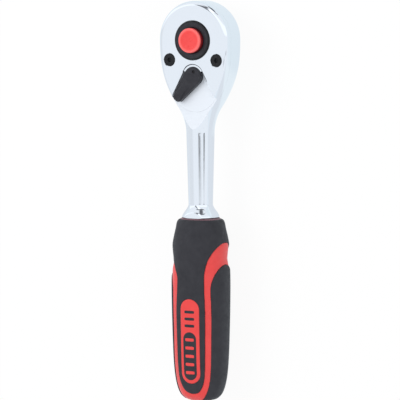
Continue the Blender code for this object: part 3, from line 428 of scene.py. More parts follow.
def drawn(outline, spine, share):
    """Copies of an outline drawn in to its spine, one for each share."""
    return spine + np.asarray(share)[:, None, None] * (outline - spine)


def lidded(name, plan, top, low_plan, low):
    """Closed plate from rows of outlines and their heights, first over the top and then underneath."""
    height = np.concatenate([top, np.broadcast_to(low, low_plan.shape[:2])])
    return grid_solid(name, np.concatenate([np.concatenate([plan, low_plan]), height[..., None]], axis=-1))


def dress(item, finish, body, *nodes, slot=None):
    """Shade a piece smoothly up to sharp edges, give it its finish and let it ride on a body."""
    item.data.materials.clear()
    item.data.materials.append(finish)
    item.data.shade_smooth()
    item.data.set_sharp_from_angle(angle=SHARP_EDGE)
    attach(item, body)
    if nodes:
        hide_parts(*nodes)
    return item


# Forging


def trumpet_radius(x):
    """Shoulder arc, then fillet arc, then a straight taper to the waist, then an S-shaped flare."""
    across = np.clip(x - SHOULDER_START, 0, OGEE_X - SHOULDER_START)
    shoulder = SHOULDER_TOP - SHOULDER_RADIUS + np.sqrt(SHOULDER_RADIUS**2 - across**2)
    back = np.clip(NECK_X - x, 0, NECK_X - OGEE_X)
    fillet = NECK_RADIUS + FILLET_RADIUS - np.sqrt(FILLET_RADIUS**2 - back**2)
    taper = NECK_RADIUS + (WAIST_RADIUS - NECK_RADIUS) * ramped(x, NECK_X, WAIST_X)
    flare = WAIST_RADIUS + (FLARE_RADIUS - WAIST_RADIUS) * smooth(ramped(x, WAIST_X, FLARE_X))
    return np.select([x < OGEE_X, x < NECK_X, x < WAIST_X], [shoulder, fillet, taper], flare)


def slab_half():
    """Half section of the head from top middle to bottom middle: shares of the half width, of the
    edge round, and heights."""
    flat = np.linspace(0, 1, 26)
    bend = np.radians(np.linspace(0, 90, 13))[1:]
    wall = np.linspace(PLATE_TOP - EDGE_ROUND, HEAD_LOW + EDGE_ROUND, 18)[1:]
    width = np.concatenate([flat, np.ones(2 * len(bend) + len(wall)), flat[::-1][1:]])
    curl = np.concatenate([0 * flat, np.sin(bend), 1 + 0 * wall, np.cos(bend), 0 * flat[1:]])
    top = PLATE_TOP - EDGE_ROUND + EDGE_ROUND * np.cos(bend)
    low = HEAD_LOW + EDGE_ROUND - EDGE_ROUND * np.sin(bend)
    height = np.concatenate([PLATE_TOP + 0 * flat, top, wall, low, HEAD_LOW + 0 * flat[1:]])
    return width, curl, height


def neck_run():
    """Stations along the neck and the largest radius at each, down to the tang's pole."""
    head = np.linspace(0, SLAB_END, 120)
    neck = np.linspace(SLAB_END, WAIST_X, 70)[1:]
    flare = np.linspace(WAIST_X, FLARE_X - FLARE_LIP, 40)[1:]
    x = np.concatenate([head, neck, flare])
    radius = trumpet_radius(x)
    lip = np.radians(np.linspace(0, 90, 8))[1:]
    x = np.concatenate([x, FLARE_X - FLARE_LIP * (1 - np.sin(lip))])
    radius = np.concatenate([radius, radius[-1] - FLARE_LIP * (1 - np.cos(lip))])
    tang = np.array([
        (FLARE_X, FLARE_RADIUS - FLARE_LIP), (FLARE_X, TANG_RADIUS), (TANG_END - TANG_CHAMFER, TANG_RADIUS),
        (TANG_END, TANG_RADIUS - TANG_CHAMFER), (TANG_END, 0.0),
    ])
    return np.concatenate([x, tang[:, 0]]), np.concatenate([radius, tang[:, 1]])


def drawn_in(x, y, z, limit):
    """Pull points towards the neck's axis by a soft minimum of their own distance and a limit."""
    x, y, z, limit = np.broadcast_arrays(x, y, z - AXIS_HEIGHT, limit)
    ratio = np.maximum(np.hypot(y, z) / np.maximum(limit, 1e-6), 1e-9)
    pull = np.exp(-np.logaddexp(0, CREASE_HARDNESS * np.log(ratio)) / CREASE_HARDNESS)
    return np.stack([x, y * pull, AXIS_HEIGHT + z * pull], axis=-1)


def forging(name):
    """Egg-shaped slab drawn in to a trumpet: the head's back is its half section turned about the
    drive axis; ahead of it each cross section is pulled towards the neck's axis until it is no
    further out than the trumpet's radius, with a soft minimum along the crease."""
    width, curl, height = slab_half()
    turn = np.linspace(np.pi / 2, 3 * np.pi / 2, 97)[:, None]
    reach = (HEAD_RADIUS - EDGE_ROUND) * width + EDGE_ROUND * curl
    behind = reach * np.cos(turn)
    back = drawn_in(behind, reach * np.sin(turn), height, trumpet_radius(np.minimum(behind, 0)))
    x, limit = neck_run()
    held = np.minimum(x, SLAB_END)
    half = HEAD_RADIUS * np.sqrt(1 - (held / HEAD_NOSE) ** 2)
    side = (half[:, None] - EDGE_ROUND) * width + EDGE_ROUND * curl
    y = np.concatenate([side, -side[:, -2:0:-1]], axis=1)
    front = drawn_in(x[:, None], y, np.concatenate([height, height[-2:0:-1]]), limit[:, None])
    back_faces = grid_faces(back.shape[0], back.shape[1], False)
    front_faces = grid_faces(front.shape[0], front.shape[1], True, back.shape[0] * back.shape[1])
    points = np.vstack([back.reshape(-1, 3), front.reshape(-1, 3)])
    return solid(name, points, np.vstack([back_faces, front_faces]).tolist())


def plate_outline(gap):
    """Plan of the cover plate: wide at the head, closed towards the neck by an arc."""
    centre = (RECESS_END_X - RECESS_END_ARC, 0.0)
    end = arc(centre, RECESS_END_ARC + gap, -RECESS_END_SPAN, RECESS_END_SPAN, 48)
    wide = 2 * HEAD_RADIUS
    corner = end[0, 0]
    rest = np.array([(corner, wide), (-wide, wide), (-wide, -wide), (corner, -wide)])
    return np.vstack([rest, end])


def run_out_tool():
    """Slope from the recess floor up to the neck: the plate's outline growing with height."""
    levels = (RECESS_FLOOR, TOOL_TOP)
    runs = [(level - RECESS_FLOOR) / math.tan(RUN_OUT_ANGLE) for level in levels]
    return stacked("run_out", [plate_outline(SEAM + run) for run in runs], levels)


def pocket_outline():
    """Room for the rocking pawl behind the wheel: an arc closed by a straight chord."""
    outer, inner = POCKET_RADII
    return np.vstack([arc((0, 0), outer, -POCKET_SPAN, POCKET_SPAN, 40),
                      arc((0, 0), inner, POCKET_SPAN, -POCKET_SPAN, 2)])


def mill(item, satin, chosen):
    """Give the milled faces of a plated piece, those a rule picks by normal and middle, a satin look."""
    item.data.materials.append(satin)
    for face in item.data.polygons:
        if chosen(face.normal, face.center / MM):
            face.material_index = 1


def on_run_out(normal, middle):
    """True on the slope that runs out of the recess towards the neck."""
    sloped = abs(normal.z - math.cos(RUN_OUT_ANGLE)) < 0.003 and normal.x < -0.08
    return sloped and middle.z > RECESS_FLOOR - SEAT_GAP


def on_recess(normal, middle):
    """True on the floor and the upright walls of the lever's recess."""
    if abs(middle.z - RECESS_FLOOR) < 0.05:
        return normal.z > 0.9
    upright = abs(normal.z) < 0.2 and middle.z > RECESS_FLOOR
    round_hub = abs(math.hypot(middle.x - LEVER_X, middle.y) - RECESS_ARC) < 0.06
    return upright and (round_hub or abs(normal.x - math.sin(math.radians(RECESS_LEAN))) < 0.02)


def ratchet_body(chrome, satin):
    """Forging with its room for the plate, the run-out, and the bores and pocket of the mechanism."""
    body = forging("chrome_forging")
    tools = [
        prism("plate_room", plate_outline(SEAM), PLATE_LOW - SEAM, TOOL_TOP),
        run_out_tool(),
        bar("wheel_bore", WHEEL_BORE, POCKET_FLOOR, TOOL_TOP),
        bar("journal_hole", JOURNAL_HOLE, 0, TOOL_TOP),
        prism("pawl_pocket", pocket_outline(), PAWL_FLOOR, TOOL_TOP),
        bar("spindle_hole", SPINDLE_HOLE, PAWL_FLOOR, TOOL_TOP, (LEVER_X, 0)),
        bar("pawl_pin_hole", PAWL_PIN_HOLE, PAWL_PIN_LOW, TOOL_TOP, (PAWL_PIN_X, 0), 32),
    ]
    for side in (LEFT, RIGHT):
        place = (SCREW_X, side * SCREW_Y)
        tools.append(bar("screw_hole", SCREW_HOLE, SCREW_HOLE_LOW, TOOL_TOP, place, 48))
    carve(body, *tools)
    dress(body, chrome, "body", "ratchet_body", slot="chrome")
    mill(body, satin, on_run_out)


# Cover plate and what sits in it


def hub_arc(radius, steps):
    """Arc about the lever's pivot, round the recess's closed end."""
    normal = 90 + RECESS_LEAN
    return arc((LEVER_X, 0), radius, normal, 360 - normal, steps)


def recess_outline(grow):
    """Fan round the lever: an arc about its pivot and two straight sides, open to the neck."""
    lean = math.radians(RECESS_LEAN)
    run = np.array([math.cos(lean), math.sin(lean)])
    first, last = hub_arc(RECESS_ARC, 2)
    start, end = RECESS_SIDE
    sides = [last + start * run * (1, -1), last + end * run * (1, -1), first + end * run, first + start * run]
    return np.vstack([hub_arc(RECESS_ARC + grow, 60), sides])


def recess_tool():
    """Fan-shaped tool whose walls stand straight and open out round the hub in a chamfer at the face."""
    levels = [RECESS_FLOOR, PLATE_TOP - HUB_CHAMFER, PLATE_TOP + RECESS_OVER]
    grows = [0.0, 0.0, HUB_CHAMFER + RECESS_OVER]
    return stacked("lever_recess", [recess_outline(grow) for grow in grows], levels)


def cover_plate(chrome, satin):
    """Top of the forging inside the plate's outline, with the recess and the holes cut into it."""
    plate = forging("chrome_cover_plate")
    carve(plate, prism("plate_zone", plate_outline(0.0), PLATE_LOW, TOOL_TOP), operation="INTERSECT")
    tools = [recess_tool(), turned("ring_hole", RING_HOLE, steps=144)]
    tools.append(bar("plate_spindle_hole", SPINDLE_HOLE, TOOL_LOW, TOOL_TOP, (LEVER_X, 0)))
    for side in (LEFT, RIGHT):
        tools.append(turned("screw_sink", SCREW_SINK, (SCREW_X, side * SCREW_Y), 64))
    carve(plate, *tools)
    dress(plate, chrome, "body", "cover_plate", slot="chrome")
    mill(plate, satin, on_recess)


def recess_step(chrome):
    """Raised crescent between the recess's round end and the lever's hub."""
    outline = np.vstack([hub_arc(RECESS_ARC, 60), hub_arc(LEVER_HUB + STEP_GAP, 60)[::-1]])
    step = prism("recess_step", outline, RECESS_FLOOR, PLATE_TOP - HUB_CHAMFER)
    dress(step, chrome, "body", slot="chrome")


def cover_screw(name, side, finish):
    """Countersunk screw: rows of radius and height, the socket rows bent into a hexagon."""
    turn = whole_turn(72)
    hexagon = SOCKET_HALF / np.cos((turn + np.pi / 6) % (np.pi / 3) - np.pi / 6)
    plain, depth, socket = SCREW_ROWS.T[:, :, None]
    radius = plain + socket * hexagon
    height = np.broadcast_to(SCREW_TOP - depth, radius.shape)
    grid = np.stack([SCREW_X + radius * np.cos(turn), side * SCREW_Y + radius * np.sin(turn), height], -1)
    dress(grid_solid(name, grid), finish, "body", "cover_" + name, slot="black_oxide")


def release_ring(finish):
    """Ring round the button: softened rims outside and a lip inside over the button's flange."""
    ring = turned("button_ring", softened(RING_CORNERS), steps=144)
    dress(ring, finish, "drive", "release_ring", slot="black_plastic")


def release_button(finish):
    """Dished cap with a rolled rim, a flange under the ring's lip and a socket for the pin."""
    button = turned("button_cap", softened(BUTTON_CORNERS, 8), steps=128)
    dress(button, finish, "button", "release_button", slot="red_button")


def release_coil(finish):
    """Round wire carried up a helix and closed at both ends."""
    low, high = (np.array(corner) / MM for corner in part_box("release_spring"))
    radius = (high[0] - low[0]) / 2 - COIL_WIRE
    turn = np.linspace(0, 2 * np.pi * COIL_TURNS, 40 * COIL_TURNS)
    rise = np.linspace(low[2] + COIL_WIRE, high[2] - COIL_WIRE, len(turn))
    outward = np.stack([np.cos(turn), np.sin(turn), 0 * turn], axis=-1)
    path = radius * outward + np.stack([0 * turn, 0 * turn, rise], axis=-1)
    around = whole_turn(16)[None, :, None]
    upward = np.array([0.0, 0.0, 1.0])
    ring = np.cos(around) * outward[:, None, :] + np.sin(around) * upward
    grid = path[:, None, :] + COIL_WIRE * ring
    ends = np.broadcast_to(path[[0, -1], None, :], (2, *grid.shape[1:]))
    coil = grid_solid("release_coil", np.concatenate([ends[:1], grid, ends[1:]]))
    dress(coil, finish, "drive", "release_spring", slot="spring_steel")
    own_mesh(coil)


def lever_outline(steps):
    """Round hub and smaller blunt tip joined by their common tangents, in the lever's own frame."""
    tip_x = LEVER_REACH - LEVER_TIP
    lean = math.degrees(math.asin((LEVER_HUB - LEVER_TIP) / tip_x))
    hub = arc((0, 0), LEVER_HUB, 90 - lean, 270 + lean, steps)
    turn = np.radians(np.linspace(-90 + lean, 90 - lean, steps // 2))
    blunt = np.column_stack([np.cos(turn) ** TIP_BLUNT, bulged(np.sin(turn), TIP_BLUNT)])
    tip = LEVER_TIP * blunt + (tip_x, 0)
    side = np.linspace(0, 1, steps // 2)[1:-1, None]
    lower = hub[-1] * (1 - side) + tip[0] * side
    upper = tip[-1] * (1 - side) + hub[0] * side
    return np.vstack([hub, lower, tip, upper])


def thumb_rise(x, y):
    """Height of the thumb ridge: grows along the lever, and falls off before its tip and across it."""
    along = ramped(x, *THUMB_ALONG) ** THUMB_CURVE
    return THUMB_RISE * along * smooth(ramped(x, *THUMB_END)) * smooth(ramped(np.abs(y), *THUMB_SIDE))


def reversing_lever(finish):
    """Concentric copies of the outline about the spine between hub and tip: the top follows the thumb
    ridge and rolls over at the rim, then the wall and the flat underside."""
    outline = lever_outline(48)
    spine = np.column_stack([np.clip(outline[:, 0], 0, LEVER_REACH - LEVER_TIP), 0 * outline[:, 0]])
    share, over = rim_rows(LEVER_ROLL, 20, 8)
    plan = drawn(outline, spine, share)
    top = LEVER_TOP - LEVER_ROLL_DEPTH * over[:, None] + thumb_rise(plan[..., 0], plan[..., 1])
    low_plan = drawn(outline, spine, LEVER_FOOT_SHARES)
    lever = lidded("thumb_lever", plan, top, low_plan, np.array(LEVER_FOOT)[:, None])
    pin = arc((0, 0), radius=1.875, start=200, end=200, steps=1)[0]
    carve(
        lever,
        bar("lever_bore", radius=SPINDLE_HOLE, low=TOOL_LOW, high=19.9),
        bar("seal_groove", radius=2.49, low=TOOL_LOW, high=19.0),
        bar("pin_hole", radius=0.63, low=18.95, high=24.0, centre=pin, steps=48),
    )
    lever.data.transform(Matrix.Translation((LEVER_X * MM, 0, 0)) @ Matrix.Rotation(LEVER_REST, 4, "Z"))
    dress(lever, finish, "lever", "reversing_lever", slot="black_plastic")


def detent_ball(finish):
    """Sphere: height and radius follow the cosine and sine of the angle from its pole."""
    tilt = np.linspace(0, np.pi, 33)
    profile = np.column_stack([BALL_RADIUS * np.sin(tilt), BALL_HEIGHT + BALL_RADIUS * np.cos(tilt)])
    ball = turned("socket_ball", profile, (0.0, BALL_OUT), 48)
    dress(ball, finish, "ball", "detent_ball", slot="tool_steel")


# Grip


def grip_half(run):
    """Half width of the grip: cubic steps through its profile with finite-difference slopes."""
    number = np.arange(len(GRIP_RUN))
    left = np.maximum(number - 1, 0)
    right = np.minimum(number + 1, number[-1])
    slope = (GRIP_HALF[right] - GRIP_HALF[left]) / (GRIP_RUN[right] - GRIP_RUN[left])
    place = np.clip(np.searchsorted(GRIP_RUN, run, side="right") - 1, 0, number[-2])
    span = GRIP_RUN[place + 1] - GRIP_RUN[place]
    u = (run - GRIP_RUN[place]) / span
    ease = smooth(u)
    lift = span * u * (1 - u) * (slope[place] * (1 - u) - slope[place + 1] * u)
    return GRIP_HALF[place] * (1 - ease) + GRIP_HALF[place + 1] * ease + lift


def grip_surface(run, angle, inset=0.0):
    """Point on the grip's oval, a superellipse, at an angle in degrees from the front."""
    half = grip_half(run)
    turn = np.radians(angle)
    power = 2.0 / GRIP_FULLNESS
    y = (half - inset) * bulged(np.sin(turn), power)
    z = (half * GRIP_DEPTH - inset) * bulged(np.cos(turn), power)
    return np.stack(np.broadcast_arrays(GRIP_X + run, y, AXIS_HEIGHT + z), axis=-1)


def foot_taper(run, start, end):
    """Falls from 1 to 0 between two stations as a full superellipse does."""
    share = ramped(run, start, end)
    return (1 - share**FOOT_FULLNESS) ** (1 / FOOT_FULLNESS)


def ribbon_sway(run):
    """Share of the ribbons' lean to the front behind the collar: a cosine bell along the grip."""
    share = ramped(np.abs(run - SWAY_MIDDLE), 0, SWAY_REACH)
    return (1 + np.cos(np.pi * share)) / 2


def tongue_half(run, hand):
    """Half angle of collar and front panel on one hand: full at the collar, arched in, rounded off."""
    tongue = TONGUES[hand]
    narrow = tongue.half - tongue.sway * ribbon_sway(run)
    wide = narrow + (90 - narrow) * sunk(ramped(run, *tongue.arch[::-1]))
    return wide * foot_taper(run, *TONGUE_FOOT)


def side_half(run, side):
    """Half angle of a side panel about the grip's side: arched in, then wider round the butt."""
    wide = side.wide + SIDE_SWAY * ribbon_sway(run)
    full = 90 - (90 - wide) * foot_taper(run, *SIDE_FOOT)
    return full * np.sqrt(1 - ramped(run, *side.arch[::-1]) ** 2)


def side_middle(run, side):
    """Middle angle of a side panel: it drifts back as the panel widens if its front edge is held."""
    late = smooth(ramped(run, *SIDE_DRIFT_RUN))
    widened = np.maximum(side_half(run, side) - side.wide, 0)
    return side.middle - side.held * (widened + SIDE_DRIFT * late)


def tongue_edge():
    """Points along the collar's rims and the front and back panels' outlines."""
    pieces = [grip_surface(np.full(240, CORE_LIP), np.linspace(0, 360, 240))]
    for hand, tongue in TONGUES.items():
        straight = np.linspace(tongue.arch[1], TONGUE_FOOT[0], 160)
        run = np.concatenate([crowded(*tongue.arch, 120), straight, eased(*TONGUE_FOOT, 120)])
        half = hand * tongue_half(run, hand)
        pieces += [grip_surface(run, half), grip_surface(run, 180 - half)]
    return np.vstack(pieces)


def side_edge(side):
    """Points along a side panel's outline and its end at the butt."""
    run = np.concatenate([crowded(*side.arch, 120), np.linspace(side.arch[1], SIDE_END, 240)])
    half = side_half(run, side)
    spine = side_middle(run, side)
    end = spine[-1] + half[-1] * np.linspace(-1, 1, 90)
    return np.vstack([grip_surface(run, spine + half), grip_surface(run, spine - half),
                      grip_surface(np.full(len(end), SIDE_END), end)])


def edge_distance(points, edge):
    """Distance from each point to the nearest point of an outline, a batch of points at a time."""
    flat = points.reshape(-1, 3)
    out = np.empty(len(flat))
    batch = 4000
    for start in range(0, len(flat), batch):
        gap = flat[start:start + batch, None, :] - edge[None, :, :]
        out[start:start + batch] = np.sqrt((gap**2).sum(-1).min(1))
    return out.reshape(points.shape[:-1])


def rolled(distance):
    """How far a panel's skin dips at a distance from its edge: a quarter round."""
    return PANEL_DIP * sunk(ramped(distance, PANEL_ROLL, 0))


def bedded(distance):
    """Depth of a panel's underside: thin at its edge, full thickness further in."""
    thin = PANEL_DIP + BED_GAP
    return thin + (PANEL_WALL - thin) * smooth(ramped(distance, 0, BED_REACH))


def shell(name, run, angle, edge):
    """Closed panel: an outer skin that rolls over at the edges and an inner skin under it."""
    distance = edge_distance(grip_surface(run, angle), edge)
    outer = grip_surface(run, angle, rolled(distance))
    inner = grip_surface(run, angle, bedded(distance))
    rows, columns = run.shape
    count = rows * columns
    rim = np.concatenate([np.arange(columns - 1), columns * np.arange(1, rows) - 1,
                          (rows - 1) * columns + np.arange(columns - 1, 0, -1),
                          columns * np.arange(rows - 1, 0, -1)])
    after = np.roll(rim, -1)
    wall = np.column_stack([rim, after, after + count, rim + count])
    faces = np.vstack([grid_faces(rows, columns, False), grid_faces(rows, columns, False, count), wall])
    return solid(name, np.vstack([outer.reshape(-1, 3), inner.reshape(-1, 3)]), faces.tolist())


def panel_grid(run, half, middle, columns):
    """Stations and angles over a panel: columns spread about its middle, closer at its edges."""
    even = np.linspace(-1, 1, columns)
    across = PANEL_CROWDING * np.sin(even * np.pi / 2) + (1 - PANEL_CROWDING) * even
    angle = np.broadcast_to(middle, half.shape)[:, None] + half[:, None] * across
    return np.broadcast_to(run[:, None], angle.shape), angle


def grip_overmould(finish):
    """Collar with front and back panels: two tongues of the grip's skin that meet at the sides."""
    first, second, end = TONGUES[RIGHT].arch[0], *TONGUES[LEFT].arch
    foot, tip = TONGUE_FOOT
    run = np.concatenate([crowded(CORE_LIP, first, 40), crowded(first, second, 50)[1:],
                          crowded(second, end, 60)[1:], np.linspace(end, foot, 100)[1:],
                          eased(foot, tip, 40)[1:-1], [tip - TONGUE_TIP]])
    right, left = tongue_half(run, RIGHT), tongue_half(run, LEFT)
    half, middle = (right + left) / 2, (right - left) / 2
    edge = tongue_edge()
    front = shell("soft_front", *panel_grid(run, half, middle, 72), edge)
    back = shell("soft_back", *panel_grid(run, half, 180 - middle, 72), edge)
    carve(front, badge_window())
    for panel in (front, back):
        dress(panel, finish, "body", "grip_overmould", slot="soft_black")


def grip_side(name, side, finish):
    """Soft panel at the grip's side, from a rounded start round to the butt."""
    foot = SIDE_FOOT[0]
    run = np.concatenate([crowded(*side.arch, 50, SIDE_TIP), np.linspace(side.arch[1], foot, 110)[1:],
                          eased(foot, SIDE_END, 50)[1:]])
    rows, angle = panel_grid(run, side_half(run, side), side_middle(run, side), 64)
    panel = shell("soft_" + name, rows, angle, side_edge(side))
    dress(panel, finish, "body", "grip_" + name, slot="soft_black")


def turned_back(angle):
    """Size of an angle in degrees, the short way round."""
    return np.abs((angle + 180) % 360 - 180)


def core_inset(run, angle):
    """Depth of the core under the grip's skin: a ribbon's depth, more where a panel beds into it, and
    a groove at the mouth."""
    from_front = turned_back(angle)
    half = np.where(angle < 180, tongue_half(run, RIGHT), tongue_half(run, LEFT))
    under = (run > CORE_LIP) & (np.minimum(from_front, 180 - from_front) < half)
    for side in SIDES.values():
        off = turned_back(angle - side_middle(run, side))
        under |= (off < side_half(run, side)) & (run < SIDE_END)
    edges = np.vstack([tongue_edge()] + [side_edge(side) for side in SIDES.values()])
    gap = edge_distance(grip_surface(run, angle), edges)
    bed = np.maximum(bedded(gap) + BED_GAP, RIBBON_DEPTH)
    inset = np.where(under & (gap > BED_GAP), bed, RIBBON_DEPTH)
    return np.where(run < MOUTH_RUN, np.maximum(inset, MOUTH_DEPTH), inset)


def grip_core(finish):
    """Oval core under the panels, with a lipped front face round the tang and a low dome at the butt."""
    bend, end = CORE_ROUND
    run = np.concatenate([np.linspace(0, CORE_FRONT, 4), np.linspace(CORE_FRONT, bend, 230)[1:],
                          eased(bend, end, 20)[1:]])
    angle = np.linspace(0, 360, 288, endpoint=False)
    run_grid, angle_grid = np.broadcast_arrays(run[:, None], angle)
    skin = grip_surface(run_grid, angle_grid, core_inset(run_grid, angle_grid))
    turn = np.radians(angle)
    bore = (TANG_RADIUS + SEAT_GAP) * np.stack([0 * turn, np.sin(turn), np.cos(turn)], -1)
    mouth = bore + (GRIP_X, 0, AXIS_HEIGHT)
    deepest = (TANG_END + BORE_OVER, 0, AXIS_HEIGHT)
    deep = bore + deepest
    pole = np.broadcast_to(deepest, deep.shape)
    shares = np.array(BUTT_SHARES)[:, None, None]
    last = skin[-1]
    middle = np.array([last[:, 0].mean(), 0, AXIS_HEIGHT])
    butt = middle + (last - middle) * shares
    butt[..., 0] += BUTT_DOME * np.sqrt(1 - shares[..., 0] ** 2)
    core = grid_solid("red_core", np.concatenate([pole[None], deep[None], mouth[None], skin, butt]))
    dress(core, finish, "body", "grip_core", slot="red_core")


def front_height(plan, proud):
    """Height of the grip's front at plan positions, raised by proud."""
    half = grip_half(plan[..., 0] - GRIP_X)
    reach = np.clip(np.abs(plan[..., 1]) / half, 0, 0.999)
    return AXIS_HEIGHT + half * GRIP_DEPTH * (1 - reach**GRIP_FULLNESS) ** (1 / GRIP_FULLNESS) + proud


def stadium(length, width, middle, steps=40):
    """Outline of two half circles joined by straight sides, along the grip."""
    reach = (length - width) / 2
    far = arc((middle + reach, 0), width / 2, -90, 90, steps)
    near_end = arc((middle - reach, 0), width / 2, 90, 270, steps)
    share = np.linspace(0, 1, steps)[1:-1, None]
    there = far[-1] * (1 - share) + near_end[0] * share
    back = near_end[-1] * (1 - share) + far[0] * share
    return np.vstack([far, there, near_end, back])


def badge_window():
    """Tool for the badge's opening in the front panel."""
    length, width, middle = BADGE
    outline = stadium(length + SEAT_GAP, width + SEAT_GAP, middle)
    return prism("badge_window", outline, AXIS_HEIGHT, WINDOW_TOP)


def inlay(name, outline, spine, proud, depth, roll, finish, slot):
    """Plate that follows the grip's front: copies of its outline drawn in to a spine, rolled at the rim."""
    share, over = rim_rows(roll, 14, 6)
    plan = drawn(outline, spine, share)
    low_plan = drawn(outline, spine, (1.0, 0.0))
    top = front_height(plan, proud) - min(INLAY_DROP, depth / 2) * over[:, None]
    item = lidded(name, plan, top, low_plan, front_height(low_plan, proud - depth))
    return dress(item, finish, "body", slot=slot)


def stadium_inlay(name, form, proud, depth, finish, slot):
    """Inlay with a stadium's outline, drawn in to the line between its round ends."""
    outline = stadium(*form)
    length, width, middle = form
    reach = (length - width) / 2
    spine = np.column_stack([np.clip(outline[:, 0], middle - reach, middle + reach), 0 * outline[:, 0]])
    return inlay(name, outline, spine, proud, depth, BADGE_ROLL, finish, slot)


def badge_bars(name, places, size, proud, finish, slot):
    """Plain bars across the badge: nearly square superellipses, each drawn in to its middle."""
    turn = whole_turn(48)
    square = bulged(np.column_stack([np.cos(turn), np.sin(turn)]), BAR_SQUARENESS)
    for number, place in enumerate(places):
        middle = np.array([[place, 0.0]])
        outline = middle + square * size / 2
        inlay(f"{name}_{number}", outline, middle, proud, INSET_DEPTH, BAR_ROLL, finish, slot)


def grip_badge(red, black):
    """Red stadium with a black inset in its lower part, and plain bars on both."""
    badge = stadium_inlay("badge_plate", BADGE, BADGE_PROUD, PANEL_WALL + BADGE_PROUD, red, "red_core")
    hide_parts("grip_badge")
    stadium_inlay("badge_inset", INSET, INSET_PROUD, INSET_DEPTH, black, "black_plastic")
    badge_bars("badge_red_bar", RED_BARS, RED_BAR_SIZE, BAR_PROUD, red, "red_core")
    badge_bars("badge_black_bar", BLACK_BARS, BLACK_BAR_SIZE, INSET_PROUD, black, "black_plastic")


# Finishes


class Graph:
    """Shader nodes of a material or a world, wired by what their inputs are given."""

    def __init__(self, owner):
        owner.use_nodes = True
        self.nodes = owner.node_tree.nodes
        self.links = owner.node_tree.links

    def give(self, node, inputs):
        """Set inputs, by name or number, to a number or colour, or link another node's output."""
        for key, value in inputs.items():
            if isinstance(value, bpy.types.NodeSocket):
                self.links.new(value, node.inputs[key])
            else:
                node.inputs[key].default_value = value

    def add(self, kind, inputs, operation=None):
        """New node of a kind, with its inputs given."""
        node = self.nodes.new("ShaderNode" + kind)
        if operation:
            node.operation = operation
        self.give(node, inputs)
        return node

    def maths(self, operation, first, second=0.0):
        """Result of one sum on two numbers, or on the first alone."""
        return self.add("Math", {0: first, 1: second}, operation).outputs[0]

    def clamped(self, value):
        """A value held between 0 and 1."""
        return self.maths("MINIMUM", 1.0, self.maths("MAXIMUM", 0.0, value))

    def band(self, value, middle, half, soft):
        """1 inside a strip of values, falling to 0 over a soft margin."""
        far = self.maths("ABSOLUTE", self.maths("SUBTRACT", value, middle))
        outside = self.maths("DIVIDE", self.maths("SUBTRACT", far, half), soft)
        return self.maths("SUBTRACT", 1.0, self.clamped(outside))


class Finish(Graph):
    """A Principled material with its pattern source in object coordinates."""

    def __init__(self, name, colour, roughness, metallic=0.0, specular=0.5):
        self.material = bpy.data.materials.new(name)
        super().__init__(self.material)
        self.shader = self.nodes["Principled BSDF"]
        self.place = self.add("TexCoord", {}).outputs["Object"]
        self.give(self.shader, {"Base Color": (*colour, 1.0), "Roughness": roughness, "Metallic": metallic,
                                "Specular IOR Level": specular})

    def stretched(self, stretch):
        """Object coordinates stretched along the axes."""
        return self.add("Mapping", {"Scale": stretch, "Vector": self.place}).outputs["Vector"]

    def noise(self, scale, detail=3.0, stretch=(1.0, 1.0, 1.0)):
        """Cloudy noise at a scale, with its detail, stretched along the axes."""
        source = {"Scale": scale, "Detail": detail, "Vector": self.stretched(stretch)}
        return self.add("TexNoise", source).outputs["Fac"]

    def measure(self, stretch):
        """Distance from the object's origin along chosen axes."""
        return self.add("VectorMath", {0: self.stretched(stretch)}, "LENGTH").outputs["Value"]

    def roughen(self, low, high, *noise):
        """Let a noise move the roughness between two values."""
        start, end = NOISE_SPAN
        spread = {"From Min": start, "From Max": end, "To Min": low, "To Max": high}
        spread["Value"] = self.noise(*noise)
        self.give(self.shader, {"Roughness": self.add("MapRange", spread).outputs["Result"]})

    def shade(self, dark, light, *noise):
        """Let a noise move the base colour between two shades."""
        ramp = self.add("ValToRGB", {"Fac": self.noise(*noise)})
        for stop, place, colour in zip(ramp.color_ramp.elements, NOISE_SPAN, (dark, light)):
            stop.position = place
            stop.color = (*colour, 1.0)
        self.give(self.shader, {"Base Color": ramp.outputs["Color"]})

    def blend(self, colour, source, start, end):
        """Fade the base colour into another as a measure goes from start to end, in millimetres."""
        share = self.add("MapRange", {"From Min": start * MM, "From Max": end * MM, "Value": source})
        before = self.shader.inputs["Base Color"].links[0].from_socket
        mix = self.add("MixRGB", {"Fac": share.outputs["Result"], "Color1": before, "Color2": (*colour, 1.0)})
        self.give(self.shader, {"Base Color": mix.outputs["Color"]})

    def bump(self, strength, height, *noise):
        """Let a noise raise the surface by a height in millimetres."""
        step = self.add("Bump", {"Strength": strength, "Distance": height * MM, "Height": self.noise(*noise)})
        self.give(self.shader, {"Normal": step.outputs["Normal"]})


def chrome_finish():
    """Bright plating over a hand-polished forging: faint waviness and fine polishing lines."""
    look = Finish("polished_chrome", (0.84, 0.875, 0.925), 0.07, 1.0)
    look.roughen(0.05, 0.1, 900, 4, (0.15, 1, 1))
    look.bump(0.05, 0.05, 160, 2)
    return look.material


def satin_finish():
    """Plating over the milled, unpolished floor of the lever's recess."""
    look = Finish("satin_chrome", (0.79, 0.83, 0.885), 0.6, 0.25)
    look.roughen(0.55, 0.7, 1400, 4, (1, 0.15, 1))
    look.bump(0.08, 0.02, 2600, 3)
    return look.material


def black_plastic_finish(name):
    """Moulded glass-filled black: slight mottle and a fine spark-eroded grain."""
    look = Finish(name, (0.022, 0.022, 0.027), 0.42, specular=0.3)
    look.shade((0.017, 0.017, 0.022), (0.028, 0.028, 0.034), 700, 4)
    look.roughen(0.36, 0.5, 1500, 3)
    look.bump(0.12, 0.03, 6000, 2)
    return look


def ring_finish():
    """The same black, with painted shade darkening it towards the ring's outer rim."""
    look = black_plastic_finish("ring_plastic")
    # painted shade: the base colour darkens towards the outer rim, where the gap round the ring lies in
    # shadow
    look.blend((0.004, 0.004, 0.005), look.measure((1, 1, 0)), 6.3, 7.0)
    return look.material


